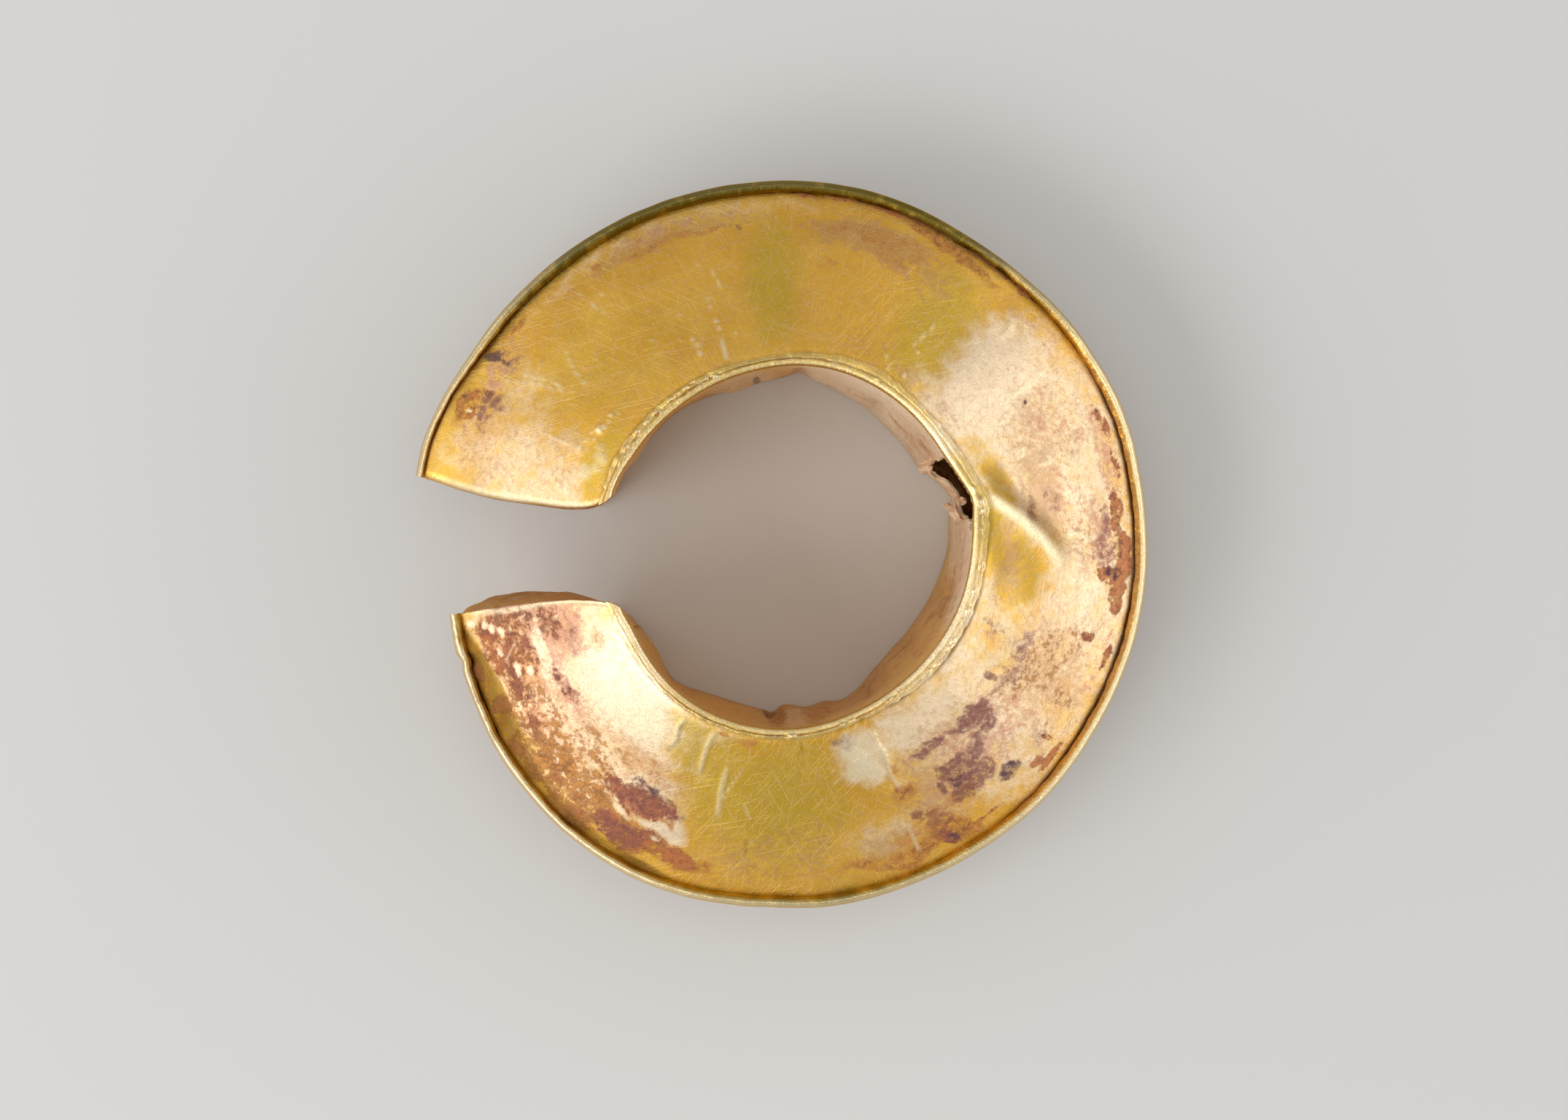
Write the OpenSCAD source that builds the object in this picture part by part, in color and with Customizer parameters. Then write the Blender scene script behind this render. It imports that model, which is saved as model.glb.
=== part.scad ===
// Lock ring of sheet gold: a hollow ring of triangular section, open at one side.
// It lies on its back lip. X and Y follow the face as it is seen, Z is the ring's axis.
// Angles run anticlockwise from +X, and the gap between the two ends faces -X.

/* [Ring] */
// Radius over the binding strip, before its dents
ring_r = 14.6; // [14.2:0.1:18]
// Height from the back lip to the front lip
ring_h = 11.6; // [9:0.1:12.2]
// Radius of the inner tube
tube_r = 7.0; // [6:0.1:7.3]

/* [Sheet] */
// Thickness of the gold sheet
sheet_t = 0.15; // [0.1:0.01:0.18]
// Gap left between neighbouring pieces
gap = 0.04; // [0.03:0.01:0.06]
// Outer radius of the fold where the tube turns out into its lips
fold_r = 0.2; // [0.19:0.01:0.25]

/* [Binding] */
// Half height of the rim, from its middle to the crest of the binding
rim_half = 0.95; // [0.9:0.05:1.2]
// Width of the binding strip, as seen from the front
strip_w = 0.52; // [0.45:0.01:0.53]

/* [Ends] */
// How far the face plates are turned in at each end
turn_in = 0.35; // [0.2:0.05:0.4]
// How far the lower end plate bulges out of its arm
end_bulge = 0.5; // [0.1:0.05:0.6]

/* [Damage] */
// Height of the bright ridge of the crease in the front plate
crease_up = 0.24; // [0:0.02:0.4]
// Depth of the valley beside that ridge
crease_down = 0.16; // [0:0.02:0.3]

/* [Hidden] */

ring_mid = ring_h / 2;
// Top of the plate below the lip
plate_top = ring_h - sheet_t - gap;
// Half the distance between the plates' skins at their outer edges
edge_half = rim_half - 0.5;
// Where the stations stop following the circle and start to follow the ends
arm_a = 150;
// Nominal angle of both ends
end_a = 170;
// Plain angular step of the stations
step_a = 5;

// The rim's dents and where the face plates stop below the binding
// angle, binding's radius off ring_r, plate edge inside the binding's radius
RIM = [
    [-170, -0.85, 0.24],
    [-163, -0.74, 0.24],
    [-155, -0.62, 0.24],
    [-145, -0.36, 0.22],
    [-135, -0.18, 0.22],
    [-125,  0.00, 0.22],
    [-110,  0.14, 0.22],
    [ -90,  0.06, 0.22],
    [ -60,  0.02, 0.22],
    [ -30,  0.00, 0.22],
    [   0,  0.02, 0.22],
    [  20,  0.06, 0.22],
    [  35, -0.04, 0.22],
    [  48, -0.17, 0.22],
    [  60, -0.17, 0.22],
    [  75,  0.00, 0.22],
    [ 100,  0.00, 0.22],
    [ 125,  0.02, 0.22],
    [ 145,  0.10, 0.24],
    [ 155,  0.26, 0.34],
    [ 163,  0.45, 0.50],
    [ 170,  0.42, 0.50]
];

// The tube's two edges and the lip folded out of it at the front
// angle, front edge off tube_r, front lip's width, back edge off tube_r
TUBE = [
    [-165, -0.22, 0.48,  0.02],
    [-150, -0.25, 0.46, -0.08],
    [-138, -0.10, 0.44, -0.02],
    [-128,  0.04, 0.40,  0.26],
    [-115,  0.14, 0.40, -0.05],
    [ -98,  0.18, 0.42, -0.08],
    [ -88,  0.18, 0.43, -0.34],
    [ -76,  0.12, 0.43, -0.18],
    [ -65,  0.06, 0.40, -0.25],
    [ -50,  0.04, 0.52, -0.66],
    [ -35,  0.10, 0.60, -0.72],
    [ -18,  0.20, 0.58, -0.52],
    [  -5,  0.25, 0.58, -0.22],
    [   6,  0.34, 0.64, -0.08],
    [  13,  0.46, 0.66,  0.20],
    [  20,  0.24, 0.60,  0.02],
    [  29,  0.06, 0.60, -0.50],
    [  45,  0.03, 0.48, -0.54],
    [  60,  0.02, 0.64, -0.40],
    [  75, -0.02, 0.58, -0.16],
    [  86, -0.10, 0.48,  0.12],
    [  98, -0.22, 0.44, -0.16],
    [ 112, -0.30, 0.50, -0.18],
    [ 130, -0.34, 0.52,  0.08],
    [ 150, -0.25, 0.56,  0.15],
    [ 166, -0.10, 0.40,  0.30]
];

// The line where the front plate changes its slope near the rim
// angle, radius off ring_r, height off the straight cone
KNEE = [
    [-168, -1.50,  0.14],
    [-160, -1.80,  0.24],
    [-150, -1.80,  0.28],
    [-140, -1.30,  0.20],
    [-125, -0.90,  0.10],
    [-105, -1.40, -0.04],
    [ -60, -1.50, -0.06],
    [   0, -1.50, -0.06],
    [  60, -1.55, -0.10],
    [ 100, -1.55, -0.14],
    [ 140, -1.55, -0.12],
    [ 168, -1.30, -0.04]
];

// Where the two arms end
// radius, upper end's angle, lower end's angle
ENDS = [
    [ 6.5, 165.5, -160.0],
    [ 7.2, 166.5, -161.8],
    [ 7.8, 169.3, -163.8],
    [ 8.6, 170.6, -165.4],
    [ 9.8, 171.1, -166.6],
    [11.5, 171.2, -167.5],
    [13.2, 170.5, -167.9],
    [14.3, 169.8, -168.2],
    [15.5, 169.4, -168.6]
];

// The tear through the tube's wall
// angle, its lower edge as a share of the wall's height, its upper edge
TEAR = [
    [ 8.0, 0.82, 0.96],
    [10.5, 0.60, 0.97],
    [13.5, 0.38, 0.98],
    [17.0, 0.27, 0.98],
    [21.0, 0.18, 0.98],
    [25.0, 0.12, 0.97],
    [28.5, 0.09, 0.96]
];

// Ridges and valleys of the front plate, each along a straight line
// angle and radius of one end, angle and radius of the other, half width, height
CREASES = [
    [12, 8.33, -4, 10.99, 0.42,  crease_up],
    [19, 8.75, -1, 10.75, 0.60, -crease_down]
];

// The number of the last row of a table that starts at or below a
function row_at(table, a) =
    max([0, for (i = [0 : len(table) - 2]) if (table[i][0] <= a) i]);

// A column of a table at a, on a smooth curve through its rows
function smooth(table, a, col) =
    let (
        i = row_at(table, a),
        last = len(table) - 1,
        k = min(1, max(0, (a - table[i][0]) / (table[i + 1][0] - table[i][0]))),
        before = table[max(i - 1, 0)][col],
        from = table[i][col],
        to = table[i + 1][col],
        after = table[min(i + 2, last)][col]
    )
    from + 0.5 * k * (to - before + k * (2 * before - 5 * from + 4 * to - after
        + k * (3 * (from - to) + after - before)));

function mix(a, b, k) = a + (b - a) * k;
function at_angle(r, z, a) = [r * cos(a), r * sin(a), z];

// The arm's true angle at a station and a radius: past arm_a it follows the arm's end
function arm_angle(a, r) =
    abs(a) <= arm_a ? a :
    a > 0 ? mix(arm_a, smooth(ENDS, r, 1), (a - arm_a) / (end_a - arm_a)) :
    mix(-arm_a, smooth(ENDS, r, 2), (-a - arm_a) / (end_a - arm_a));

// Stations of every piece: angle, way back from the end, drop, turn of the sheet there
plain_stations = [for (a = [-end_a : step_a : end_a]) [a, 0, 0, 0]];
crease_stations = [for (a = [-7.5, -2.5, 2.5, 7.5, 12.5, 17.5]) [a, 0, 0, 0]];
turned_end = [[0.20, 0.00, 0], [0.07, 0.03, 30], [0.01, 0.11, 65], [0, turn_in, 90]];
lower_turn = [for (i = [3 : -1 : 0]) concat([-end_a], turned_end[i])];
upper_turn = [for (i = [0 : 3]) concat([end_a], turned_end[i])];
middle_stations = [for (s = plain_stations) if (abs(s[0]) < end_a) s];

// Two lists of stations joined in the order of their angles
function merged(a, b) =
    len(a) == 0 ? b :
    len(b) == 0 ? a :
    a[0][0] <= b[0][0]
        ? concat([a[0]], merged([for (i = [1 : 1 : len(a) - 1]) a[i]], b))
        : concat([b[0]], merged(a, [for (i = [1 : 1 : len(b) - 1]) b[i]]));

// A line in the section moved sideways by d, at each point square to the line
function moved(line, d) = [
    for (k = [0 : len(line) - 1])
        let (
            from = line[max(k - 1, 0)],
            to = line[min(k + 1, len(line) - 1)],
            way = (to - from) / norm(to - from)
        )
        line[k] + d * [way[1], -way[0]]
];

// One point of a skin: the section's point, its partner on the other skin, and the station
// The sheet's thickness turns from the section's plane to the way along the arm.
// fall is 1 where the ends are turned down and -1 where they are turned up.
function skin_point(p, q, s, far, fall) =
    let (
        side = s[0] > 0 ? 1 : -1,
        a = arm_angle(s[0], p[0]) - side * s[1] / p[0] * 180 / PI,
        across = q - p,
        base = at_angle(p[0], p[1] - fall * s[2], a),
        inward = side * [sin(a), -cos(a), 0],
        flat = at_angle(across[0], across[1], a)
    )
    far ? base + flat * cos(s[3]) + inward * norm(across) * sin(s[3]) : base;

function skin(stations, lines, partners, far, fall = 1) = [
    for (i = [0 : len(stations) - 1])
        [for (j = [0 : len(lines[i]) - 1])
            skin_point(lines[i][j], partners[i][j], stations[i], far, fall)]
];

// A sheet as one closed solid. near and far are its skins, a row of points for each station.
// A window is a torn-out part: first and last station, first and last step of the section.
module sheet(near, far, windows = []) {
    rows = len(near) - 1;
    steps = len(near[0]) - 1;
    count = (rows + 1) * (steps + 1);
    function torn(i, j) =
        len([for (w = windows) if (i >= w[0] && i <= w[1] && j >= w[2] && j <= w[3]) 1]) > 0;
    function kept(i, j) = i >= 0 && i < rows && j >= 0 && j < steps && !torn(i, j);
    function at(i, j) = i * (steps + 1) + j;
    function wall(a, b) = [[b, a, a + count], [b, a + count, b + count]];
    faces = [
        for (i = [0 : rows - 1], j = [0 : steps - 1])
            if (kept(i, j))
                let (a = at(i, j), b = at(i + 1, j), c = at(i + 1, j + 1), d = at(i, j + 1))
                each concat(
                    [[a, b, c], [a, c, d]],
                    [[a + count, c + count, b + count], [a + count, d + count, c + count]],
                    kept(i, j - 1) ? [] : wall(a, b),
                    kept(i + 1, j) ? [] : wall(b, c),
                    kept(i, j + 1) ? [] : wall(c, d),
                    kept(i - 1, j) ? [] : wall(d, a)
                )
    ];
    polyhedron(points = concat([for (row = near) each row], [for (row = far) each row]),
               faces = faces);
}

// A quarter of a fold, from the wall to the lip: middle of the fold, radius, first turn
function fold(r, z, radius, up) = [
    for (turn = [0 : 30 : 90]) [r + radius * (1 - cos(turn)), z + up * radius * sin(turn)]
];

// Radii that the pieces share, at a station
function front_r(a) = tube_r + smooth(TUBE, a, 1);
function back_r(a) = tube_r + smooth(TUBE, a, 3);
function lip_r(a) = front_r(a) + smooth(TUBE, a, 2);
back_lip_w = 0.6;
function binding_r(a) = ring_r + smooth(RIM, a, 1);
function plate_r(a) = binding_r(a) - smooth(RIM, a, 2);
// A face plate starts just outside the tube's wall
function plate_start(tube_edge) = tube_edge + sheet_t + gap + 0.02;

// Height of a crease above the plate at a place on the face
function crease_height(r, a) =
    let (p = [r * cos(a), r * sin(a)])
    sum([for (c = CREASES)
        let (
            from = c[1] * [cos(c[0]), sin(c[0])],
            to = c[3] * [cos(c[2]), sin(c[2])],
            along = min(1, max(0, (p - from) * (to - from) / ((to - from) * (to - from)))),
            away = norm(p - mix(from, to, along))
        )
        away < c[4] ? c[5] * (1 + cos(180 * away / c[4])) / 2 : 0]);
function sum(list, i = 0) = i >= len(list) ? 0 : list[i] + sum(list, i + 1);

// Section of the front plate, from below the lip to inside the binding
cone_steps = 8;
function front_line(a) =
    let (
        start = plate_start(front_r(a)),
        bend = max(start + 0.15, lip_r(a) + 0.08),
        edge = plate_r(a),
        edge_z = ring_mid + edge_half,
        knee = ring_r + smooth(KNEE, a, 1),
        cone = (plate_top - edge_z) / (edge - bend),
        knee_z = edge_z + cone * (edge - knee) + smooth(KNEE, a, 2)
    )
    concat(
        [[start, plate_top], [bend - 0.05, plate_top - 0.01]],
        [for (k = [1 : cone_steps])
            let (
                r = mix(bend, knee, k / cone_steps),
                z = mix(plate_top, knee_z, k / cone_steps)
            )
            [r, z + crease_height(r, a)]],
        [for (k = [1, 2]) [mix(knee, edge, k / 2), mix(knee_z, edge_z, k / 2)]]
    );

// Section of the back plate, which is a plain cone
function back_line(a) =
    let (
        start = plate_start(back_r(a)),
        bend = back_r(a) + back_lip_w + 0.08,
        edge = plate_r(a),
        low = ring_h - plate_top,
        edge_z = ring_mid - edge_half
    )
    [[start, low], [bend, low], [mix(bend, edge, 0.35), mix(low, edge_z, 0.33)],
     [mix(bend, edge, 0.7), mix(low, edge_z, 0.68)], [edge, edge_z]];

// Section of the tube: back lip, wall and front lip, seen from the ring's middle
function tube_line(a) =
    let (
        back = back_r(a),
        front = front_r(a),
        tear_a = min(28.5, max(8, a)),
        low = smooth(TEAR, tear_a, 1),
        high = smooth(TEAR, tear_a, 2),
        inside = a >= 7.9 && a <= 28.6,
        cuts = inside
            ? [low / 2, low, mix(low, high, 0.25), mix(low, high, 0.5), mix(low, high, 0.75), high]
            : [0.1, 0.25, 0.42, 0.6, 0.78, 0.93],
        wall_low = fold_r,
        wall_high = ring_h - fold_r
    )
    concat(
        [[back + back_lip_w, 0]],
        [for (p = [3 : -1 : 0]) fold(back, wall_low, fold_r, -1)[p]],
        [for (k = cuts) [mix(back, front, k), mix(wall_low, wall_high, k)]],
        fold(front, wall_high, fold_r, 1),
        [[lip_r(a), ring_h]]
    );

// Section of the binding, from its front edge round the rim to its back edge
function binding_line(a) =
    let (r = binding_r(a), half = rim_half)
    [[r - strip_w, ring_mid + half - 0.16],
     [r - 0.30, ring_mid + half],
     [r - 0.12, ring_mid + half - 0.08],
     [r - 0.02, ring_mid + half * 0.55],
     [r, ring_mid],
     [r - 0.02, ring_mid - half * 0.55],
     [r - 0.12, ring_mid - half + 0.08],
     [r - 0.30, ring_mid - half],
     [r - strip_w, ring_mid - half + 0.16]];

module front_face_plate() {
    stations = concat(lower_turn, merged(middle_stations, crease_stations), upper_turn);
    lines = [for (s = stations) front_line(s[0])];
    under = [for (line = lines) moved(line, sheet_t)];
    color("goldenrod")
        sheet(skin(stations, lines, under, false), skin(stations, lines, under, true));
}

module back_face_plate() {
    stations = concat(lower_turn, middle_stations, upper_turn);
    lines = [for (s = stations) back_line(s[0])];
    upper = [for (line = lines) moved(line, -sheet_t)];
    color("goldenrod")
        sheet(skin(stations, lines, upper, true, -1), skin(stations, lines, upper, false, -1));
}

module inner_tube() {
    tear_stations = [for (row = TEAR) [row[0], 0, 0, 0]];
    whole = [for (s = plain_stations) if (s[0] < 7 || s[0] > 29) s];
    stations = merged(whole, tear_stations);
    first = max([for (i = [0 : len(stations) - 1]) if (stations[i][0] < 9) i]);
    lines = [for (s = stations) tube_line(s[0])];
    outer = [for (line = lines) moved(line, sheet_t)];
    color("gold")
        sheet(skin(stations, lines, outer, false), skin(stations, lines, outer, true),
              windows = [[first, first + len(TEAR) - 2, 6, 9]]);
}

module rim_binding() {
    lines = [for (s = plain_stations) binding_line(s[0])];
    inner = [for (line = lines) moved(line, sheet_t)];
    color("darkgoldenrod")
        sheet(skin(plain_stations, lines, inner, false), skin(plain_stations, lines, inner, true));
}

// An end plate: side is 1 for the upper arm and -1 for the lower one.
// back is how far its outer skin lies inside the arm's end, bulge how far its middle stands out.
module end_plate(side, back, bulge) {
    a = side * end_a;
    from = max(front_r(a), back_r(a)) + sheet_t + 2 * gap;
    to = plate_r(a) - 0.25;
    bend = lip_r(a) + 0.08;
    room = sheet_t / cos(38) + 2 * gap;
    steps = 8;
    function top(r) =
        r < bend ? plate_top - room
        : mix(plate_top, ring_mid + edge_half, (r - bend) / (plate_r(a) - bend)) - room;
    function out(u, v) = bulge * pow(sin(180 * u), 0.7) * pow(sin(180 * v), 0.7);
    function place(u, v, deep) =
        let (
            r = mix(from, to, u),
            z = mix(ring_h - top(r), top(r), v),
            along = back + deep - out(u, v),
            turn = side * along / r * 180 / PI
        )
        at_angle(r, z, arm_angle(a, r) - turn);
    outside = [for (i = [0 : steps]) [for (j = [0 : steps]) place(i / steps, j / steps, 0)]];
    inside = [for (i = [0 : steps]) [for (j = [0 : steps]) place(i / steps, j / steps, sheet_t)]];
    if (side > 0)
        sheet(inside, outside);
    else
        sheet(outside, inside);
}

module upper_end_plate() {
    color("peru") end_plate(1, sheet_t + 2 * gap, 0);
}

module lower_end_plate() {
    color("peru") end_plate(-1, sheet_t + 2 * gap, end_bulge + sheet_t + 2 * gap);
}

front_face_plate();
back_face_plate();
inner_tube();
rim_binding();
upper_end_plate();
lower_end_plate();
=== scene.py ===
# %% [markdown]
# # A lock ring of sheet gold
# A lock ring is a hollow, open ring beaten from gold sheet and worn in the hair. Two cone-shaped
# face plates, a split tube and a folded binding strip are pressed together, with almost no solder.
# This lesson dresses the plain solids of such a ring with real dents, folds, a tear, earth stains
# and scratched gold. Every cell makes one thing and prints what came out.

# %% Load the solids and measure them
import math

import bmesh
import bpy
import numpy as np
from mathutils import Matrix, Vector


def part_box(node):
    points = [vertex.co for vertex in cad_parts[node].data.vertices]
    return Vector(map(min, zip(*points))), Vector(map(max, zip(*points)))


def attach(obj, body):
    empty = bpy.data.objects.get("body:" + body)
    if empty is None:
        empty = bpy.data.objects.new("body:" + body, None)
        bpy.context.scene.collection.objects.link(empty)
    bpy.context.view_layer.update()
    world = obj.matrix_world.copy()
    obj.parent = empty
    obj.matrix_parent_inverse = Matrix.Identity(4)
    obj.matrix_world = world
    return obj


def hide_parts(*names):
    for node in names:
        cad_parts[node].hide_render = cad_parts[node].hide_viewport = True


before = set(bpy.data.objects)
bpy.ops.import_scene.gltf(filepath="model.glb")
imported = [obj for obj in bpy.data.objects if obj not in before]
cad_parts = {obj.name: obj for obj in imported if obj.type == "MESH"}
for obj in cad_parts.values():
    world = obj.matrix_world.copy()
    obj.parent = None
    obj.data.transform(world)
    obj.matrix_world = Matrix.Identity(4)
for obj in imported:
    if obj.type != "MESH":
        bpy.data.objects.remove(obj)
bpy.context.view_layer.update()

print("solids:", sorted(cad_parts))

# %% [markdown]
# ## The sizes
# The real ring is 29 mm across and was made from sheet about 0.15 mm thick. Sizes could be typed in
# again, but then a change to the solids would leave the looks behind. So the height and the rim
# come from the solids, and the rest are the few values that the maker would have set.

# %% Take the sizes from the solids
MM = 0.001
tube_low, tube_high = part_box("inner_tube")
rim_low, rim_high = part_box("rim_binding")
ring_h = (tube_high.z - tube_low.z) / MM
ring_mid = ring_h / 2
rim_half = (rim_high.z - rim_low.z) / 2 / MM
# The plates' outer edges lie this much inside the rim's height
edge_inset = 0.5
edge_half = rim_half - edge_inset
ring_r = 14.6
tube_r = 7.0
sheet_t = 0.15
gap = 0.04
fold_r = 0.2
plate_top = ring_h - sheet_t - gap
# Degrees at which an arm's last part begins and at which it ends, before the ends are shaped
arm_a = 150
end_a = 170
print(f"height {ring_h:.2f} mm, half height of the rim {rim_half:.2f} mm")

# %% [markdown]
# ## The measured lines
# Nothing on a hand-beaten ring is a true circle. The dents of the rim, the wavy edge of the tube
# and the change of slope in the face were measured at a few angles. A curve through a few
# rows is easier to read and to correct than many points, so each line is a short table.

# %% Tables of the ring's lines
# angle, binding's radius off ring_r, plate edge inside it, width of the strip's front
RIM = [
    (-170, -0.88, 0.3, 0.44), (-166, -0.8, 0.26, 0.46), (-162.5, -0.74, 0.26, 0.46),
    (-161, -0.84, 0.26, 0.4), (-159, -0.72, 0.26, 0.44), (-155, -0.66, 0.24, 0.4), (-150, -0.55, 0.24, 0.4),
    (-145, -0.4, 0.22, 0.42), (-140, -0.31, 0.22, 0.44), (-135, -0.21, 0.22, 0.44),
    (-130, -0.1, 0.22, 0.44), (-125, -0.02, 0.22, 0.44), (-120, 0.05, 0.22, 0.46), (-113, 0.12, 0.22, 0.5),
    (-105, 0.1, 0.22, 0.5), (-97, 0.03, 0.22, 0.5), (-90, 0, 0.22, 0.5), (-84, 0.07, 0.22, 0.5),
    (-70, 0.02, 0.22, 0.5), (-60, -0.01, 0.22, 0.5), (-45, 0.04, 0.22, 0.5), (-30, -0.03, 0.22, 0.5),
    (-10, 0.01, 0.22, 0.5), (10, -0.04, 0.22, 0.5), (20, 0.04, 0.22, 0.5), (30, -0.03, 0.22, 0.5),
    (40, -0.09, 0.22, 0.48), (48, -0.19, 0.22, 0.46), (60, -0.2, 0.22, 0.46), (70, -0.08, 0.22, 0.5),
    (80, -0.01, 0.22, 0.52), (100, -0.03, 0.22, 0.52), (120, -0.01, 0.22, 0.52), (135, 0.04, 0.24, 0.48),
    (145, 0.08, 0.27, 0.42), (150, 0.13, 0.3, 0.36), (155, 0.26, 0.36, 0.32), (160, 0.37, 0.42, 0.3),
    (165, 0.47, 0.45, 0.3), (170, 0.43, 0.42, 0.3),
]
# angle, front edge off tube_r, width of the lip folded out of it
LIP = [
    (-165, -0.22, 0.48), (-150, -0.25, 0.46), (-138, -0.1, 0.44), (-128, 0.04, 0.4), (-115, 0.14, 0.4),
    (-98, 0.18, 0.42), (-88, 0.18, 0.43), (-76, 0.12, 0.43), (-65, 0.06, 0.4), (-50, 0.04, 0.52),
    (-35, 0.1, 0.6), (-18, 0.2, 0.58), (-5, 0.25, 0.58), (6, 0.34, 0.64), (13, 0.46, 0.66), (20, 0.24, 0.6),
    (29, 0.06, 0.6), (45, 0.03, 0.48), (60, 0.02, 0.64), (75, -0.02, 0.58), (86, -0.1, 0.48),
    (98, -0.22, 0.44), (112, -0.3, 0.5), (130, -0.34, 0.52), (150, -0.25, 0.56), (166, -0.1, 0.4),
]
# angle, back edge of the tube off tube_r
BACK_EDGE = [
    (-165, 0.02), (-155, -0.05), (-148, -0.12), (-138, 0), (-130, 0.26), (-126, 0.22), (-120, 0.04),
    (-112, -0.1), (-105, -0.12), (-97, -0.06), (-94, 0), (-91, -0.28), (-88, -0.32), (-82, -0.16),
    (-76, -0.26), (-70, -0.1), (-65, -0.2), (-60, -0.38), (-55, -0.58), (-50, -0.68), (-43, -0.76),
    (-36, -0.72), (-30, -0.68), (-20, -0.55), (-10, -0.38), (0, -0.16), (8, -0.08), (15, 0.2), (20, 0.02),
    (25, -0.28), (29, -0.54), (40, -0.56), (50, -0.52), (60, -0.38), (70, -0.26), (78, -0.08), (85, 0.2),
    (89, 0.02), (95, -0.14), (102, -0.22), (110, -0.2), (120, -0.03), (130, 0.1), (140, 0.12), (150, 0.17),
    (160, 0.28), (166, 0.3),
]
# angle, radius of the slope's change off ring_r, height off the straight cone
KNEE = [
    (-168, -1.5, 0.14), (-160, -1.8, 0.24), (-150, -1.8, 0.28), (-140, -1.3, 0.2), (-125, -0.9, 0.1),
    (-105, -1.4, -0.04), (-60, -1.5, -0.06), (0, -1.5, -0.06), (60, -1.55, -0.1), (100, -1.55, -0.14),
    (140, -1.55, -0.12), (168, -1.3, -0.04),
]
# radius, upper arm's end angle, lower arm's end angle
ENDS = [
    (6.5, 160, -154.5), (6.85, 163.8, -158.8), (7.1, 166.8, -161), (7.4, 168.8, -162.3), (7.8, 170, -163.6),
    (8.6, 170.9, -165.3), (9.8, 171.1, -166.6), (11.5, 171.2, -167.5), (13.2, 170.5, -167.9),
    (14.3, 169.8, -168.2), (15.5, 169.4, -168.6),
]
print("rows:", len(RIM) + len(LIP) + len(BACK_EDGE) + len(KNEE) + len(ENDS))

# %% [markdown]
# A cubic through the rows keeps a line smooth where straight steps would show as facets in the
# gold. Random waves are added later with a small lattice of random heights, always from the same
# seed, so that every run beats the same ring.

# %% Smooth lines and random waves
def cubic(before, here, there, after, k):
    """A smooth curve at share k of the way from here to there"""
    bend = 2 * before - 5 * here + 4 * there - after + k * (3 * (here - there) + after - before)
    return here + 0.5 * k * (there - before + k * bend)


def smooth(table, key, column):
    """A column of a table at key, on a smooth curve through its rows"""
    rows = np.array(table, float)
    i = np.clip(np.searchsorted(rows[:, 0], key, side="right") - 1, 0, len(rows) - 2)
    k = np.clip((key - rows[i, 0]) / (rows[i + 1, 0] - rows[i, 0]), 0, 1)
    column = rows[:, column]
    before = column[np.maximum(i - 1, 0)]
    after = column[np.minimum(i + 2, len(rows) - 1)]
    return cubic(before, column[i], column[i + 1], after, k)


def mix(a, b, k):
    """The value at share k of the way from a to b"""
    return a + (b - a) * k


def waves(x, y, size, seed):
    """Smooth random heights from -1 to 1, about size millimetres apart"""
    cells = 64
    heights = np.random.default_rng(seed).uniform(-1, 1, (cells, cells))
    i = np.floor(x / size).astype(int)
    j = np.floor(y / size).astype(int)
    u = x / size - i
    v = y / size - j
    u = u * u * (3 - 2 * u)
    v = v * v * (3 - 2 * v)
    near = mix(heights[i % cells, j % cells], heights[(i + 1) % cells, j % cells], u)
    far = mix(heights[i % cells, (j + 1) % cells], heights[(i + 1) % cells, (j + 1) % cells], u)
    return mix(near, far, v)


def ramp(x, start, length):
    """0 up to start and 1 from one length past it. A length below 0 goes the other way"""
    return np.clip((x - start) / length, 0, 1)


def soft_ramp(x, width):
    """0 before zero and x after it, with the corner rounded over width"""
    return (x + np.sqrt(x * x + width * width)) / 2


print("rim at the top:", round(float(ring_r + smooth(RIM, 90, 1)), 2), "mm")

# %% [markdown]
# ## The camera first
# The ring is photographed from straight above. Marks on it are easiest to note down as they are
# seen: an angle round the ring and a radius in the picture. A place high on the ring is nearer to
# the camera and looks further out, so the camera's own height turns real places into seen ones.

# %% Camera straight above the ring
# Millimetres: height above the ring's middle, offset towards the front, width of the picture
CAMERA_HEIGHT = 150.0
CAMERA_Y = -0.65
PICTURE_WIDTH = 63.12
# Width of the camera's sensor
SENSOR = 36.0


def add_object(name, data):
    """A new object in the scene, with a mesh, a camera or a light"""
    made = bpy.data.objects.new(name, data)
    bpy.context.scene.collection.objects.link(made)
    return made


camera = add_object("camera", bpy.data.cameras.new("camera"))
camera.location = (0, CAMERA_Y * MM, (ring_mid + CAMERA_HEIGHT) * MM)
camera.data.sensor_width = SENSOR
camera.data.lens = SENSOR * CAMERA_HEIGHT / PICTURE_WIDTH
camera.data.clip_start = 0.005
bpy.context.scene.camera = camera


def polar(angle, r):
    """The place at an angle in degrees and a radius"""
    turn = np.radians(angle)
    return r * np.cos(turn), r * np.sin(turn)


def round_ring(x, y):
    """The angle in degrees and the radius of a place"""
    return np.degrees(np.arctan2(y, x)), np.hypot(x, y)


def as_seen(x, y, z):
    """The angle and the radius at which the camera sees a place"""
    nearer = CAMERA_HEIGHT / (CAMERA_HEIGHT - (z - ring_mid))
    return round_ring(x * nearer, CAMERA_Y + (y - CAMERA_Y) * nearer)


print(f"lens {camera.data.lens:.1f} mm")

# %% [markdown]
# ## A sheet to beat
# The goldsmith starts every piece from a flat strip. So does each sheet here: one straight edge is
# cut into short steps and spun round the ring's axis. The spin makes a flat band, whose steps are
# finer at both ends, where the sheet is rolled over. Each point then remembers two numbers, its
# share of the way across the band and its station round it, and a shape function moves it.

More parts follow.
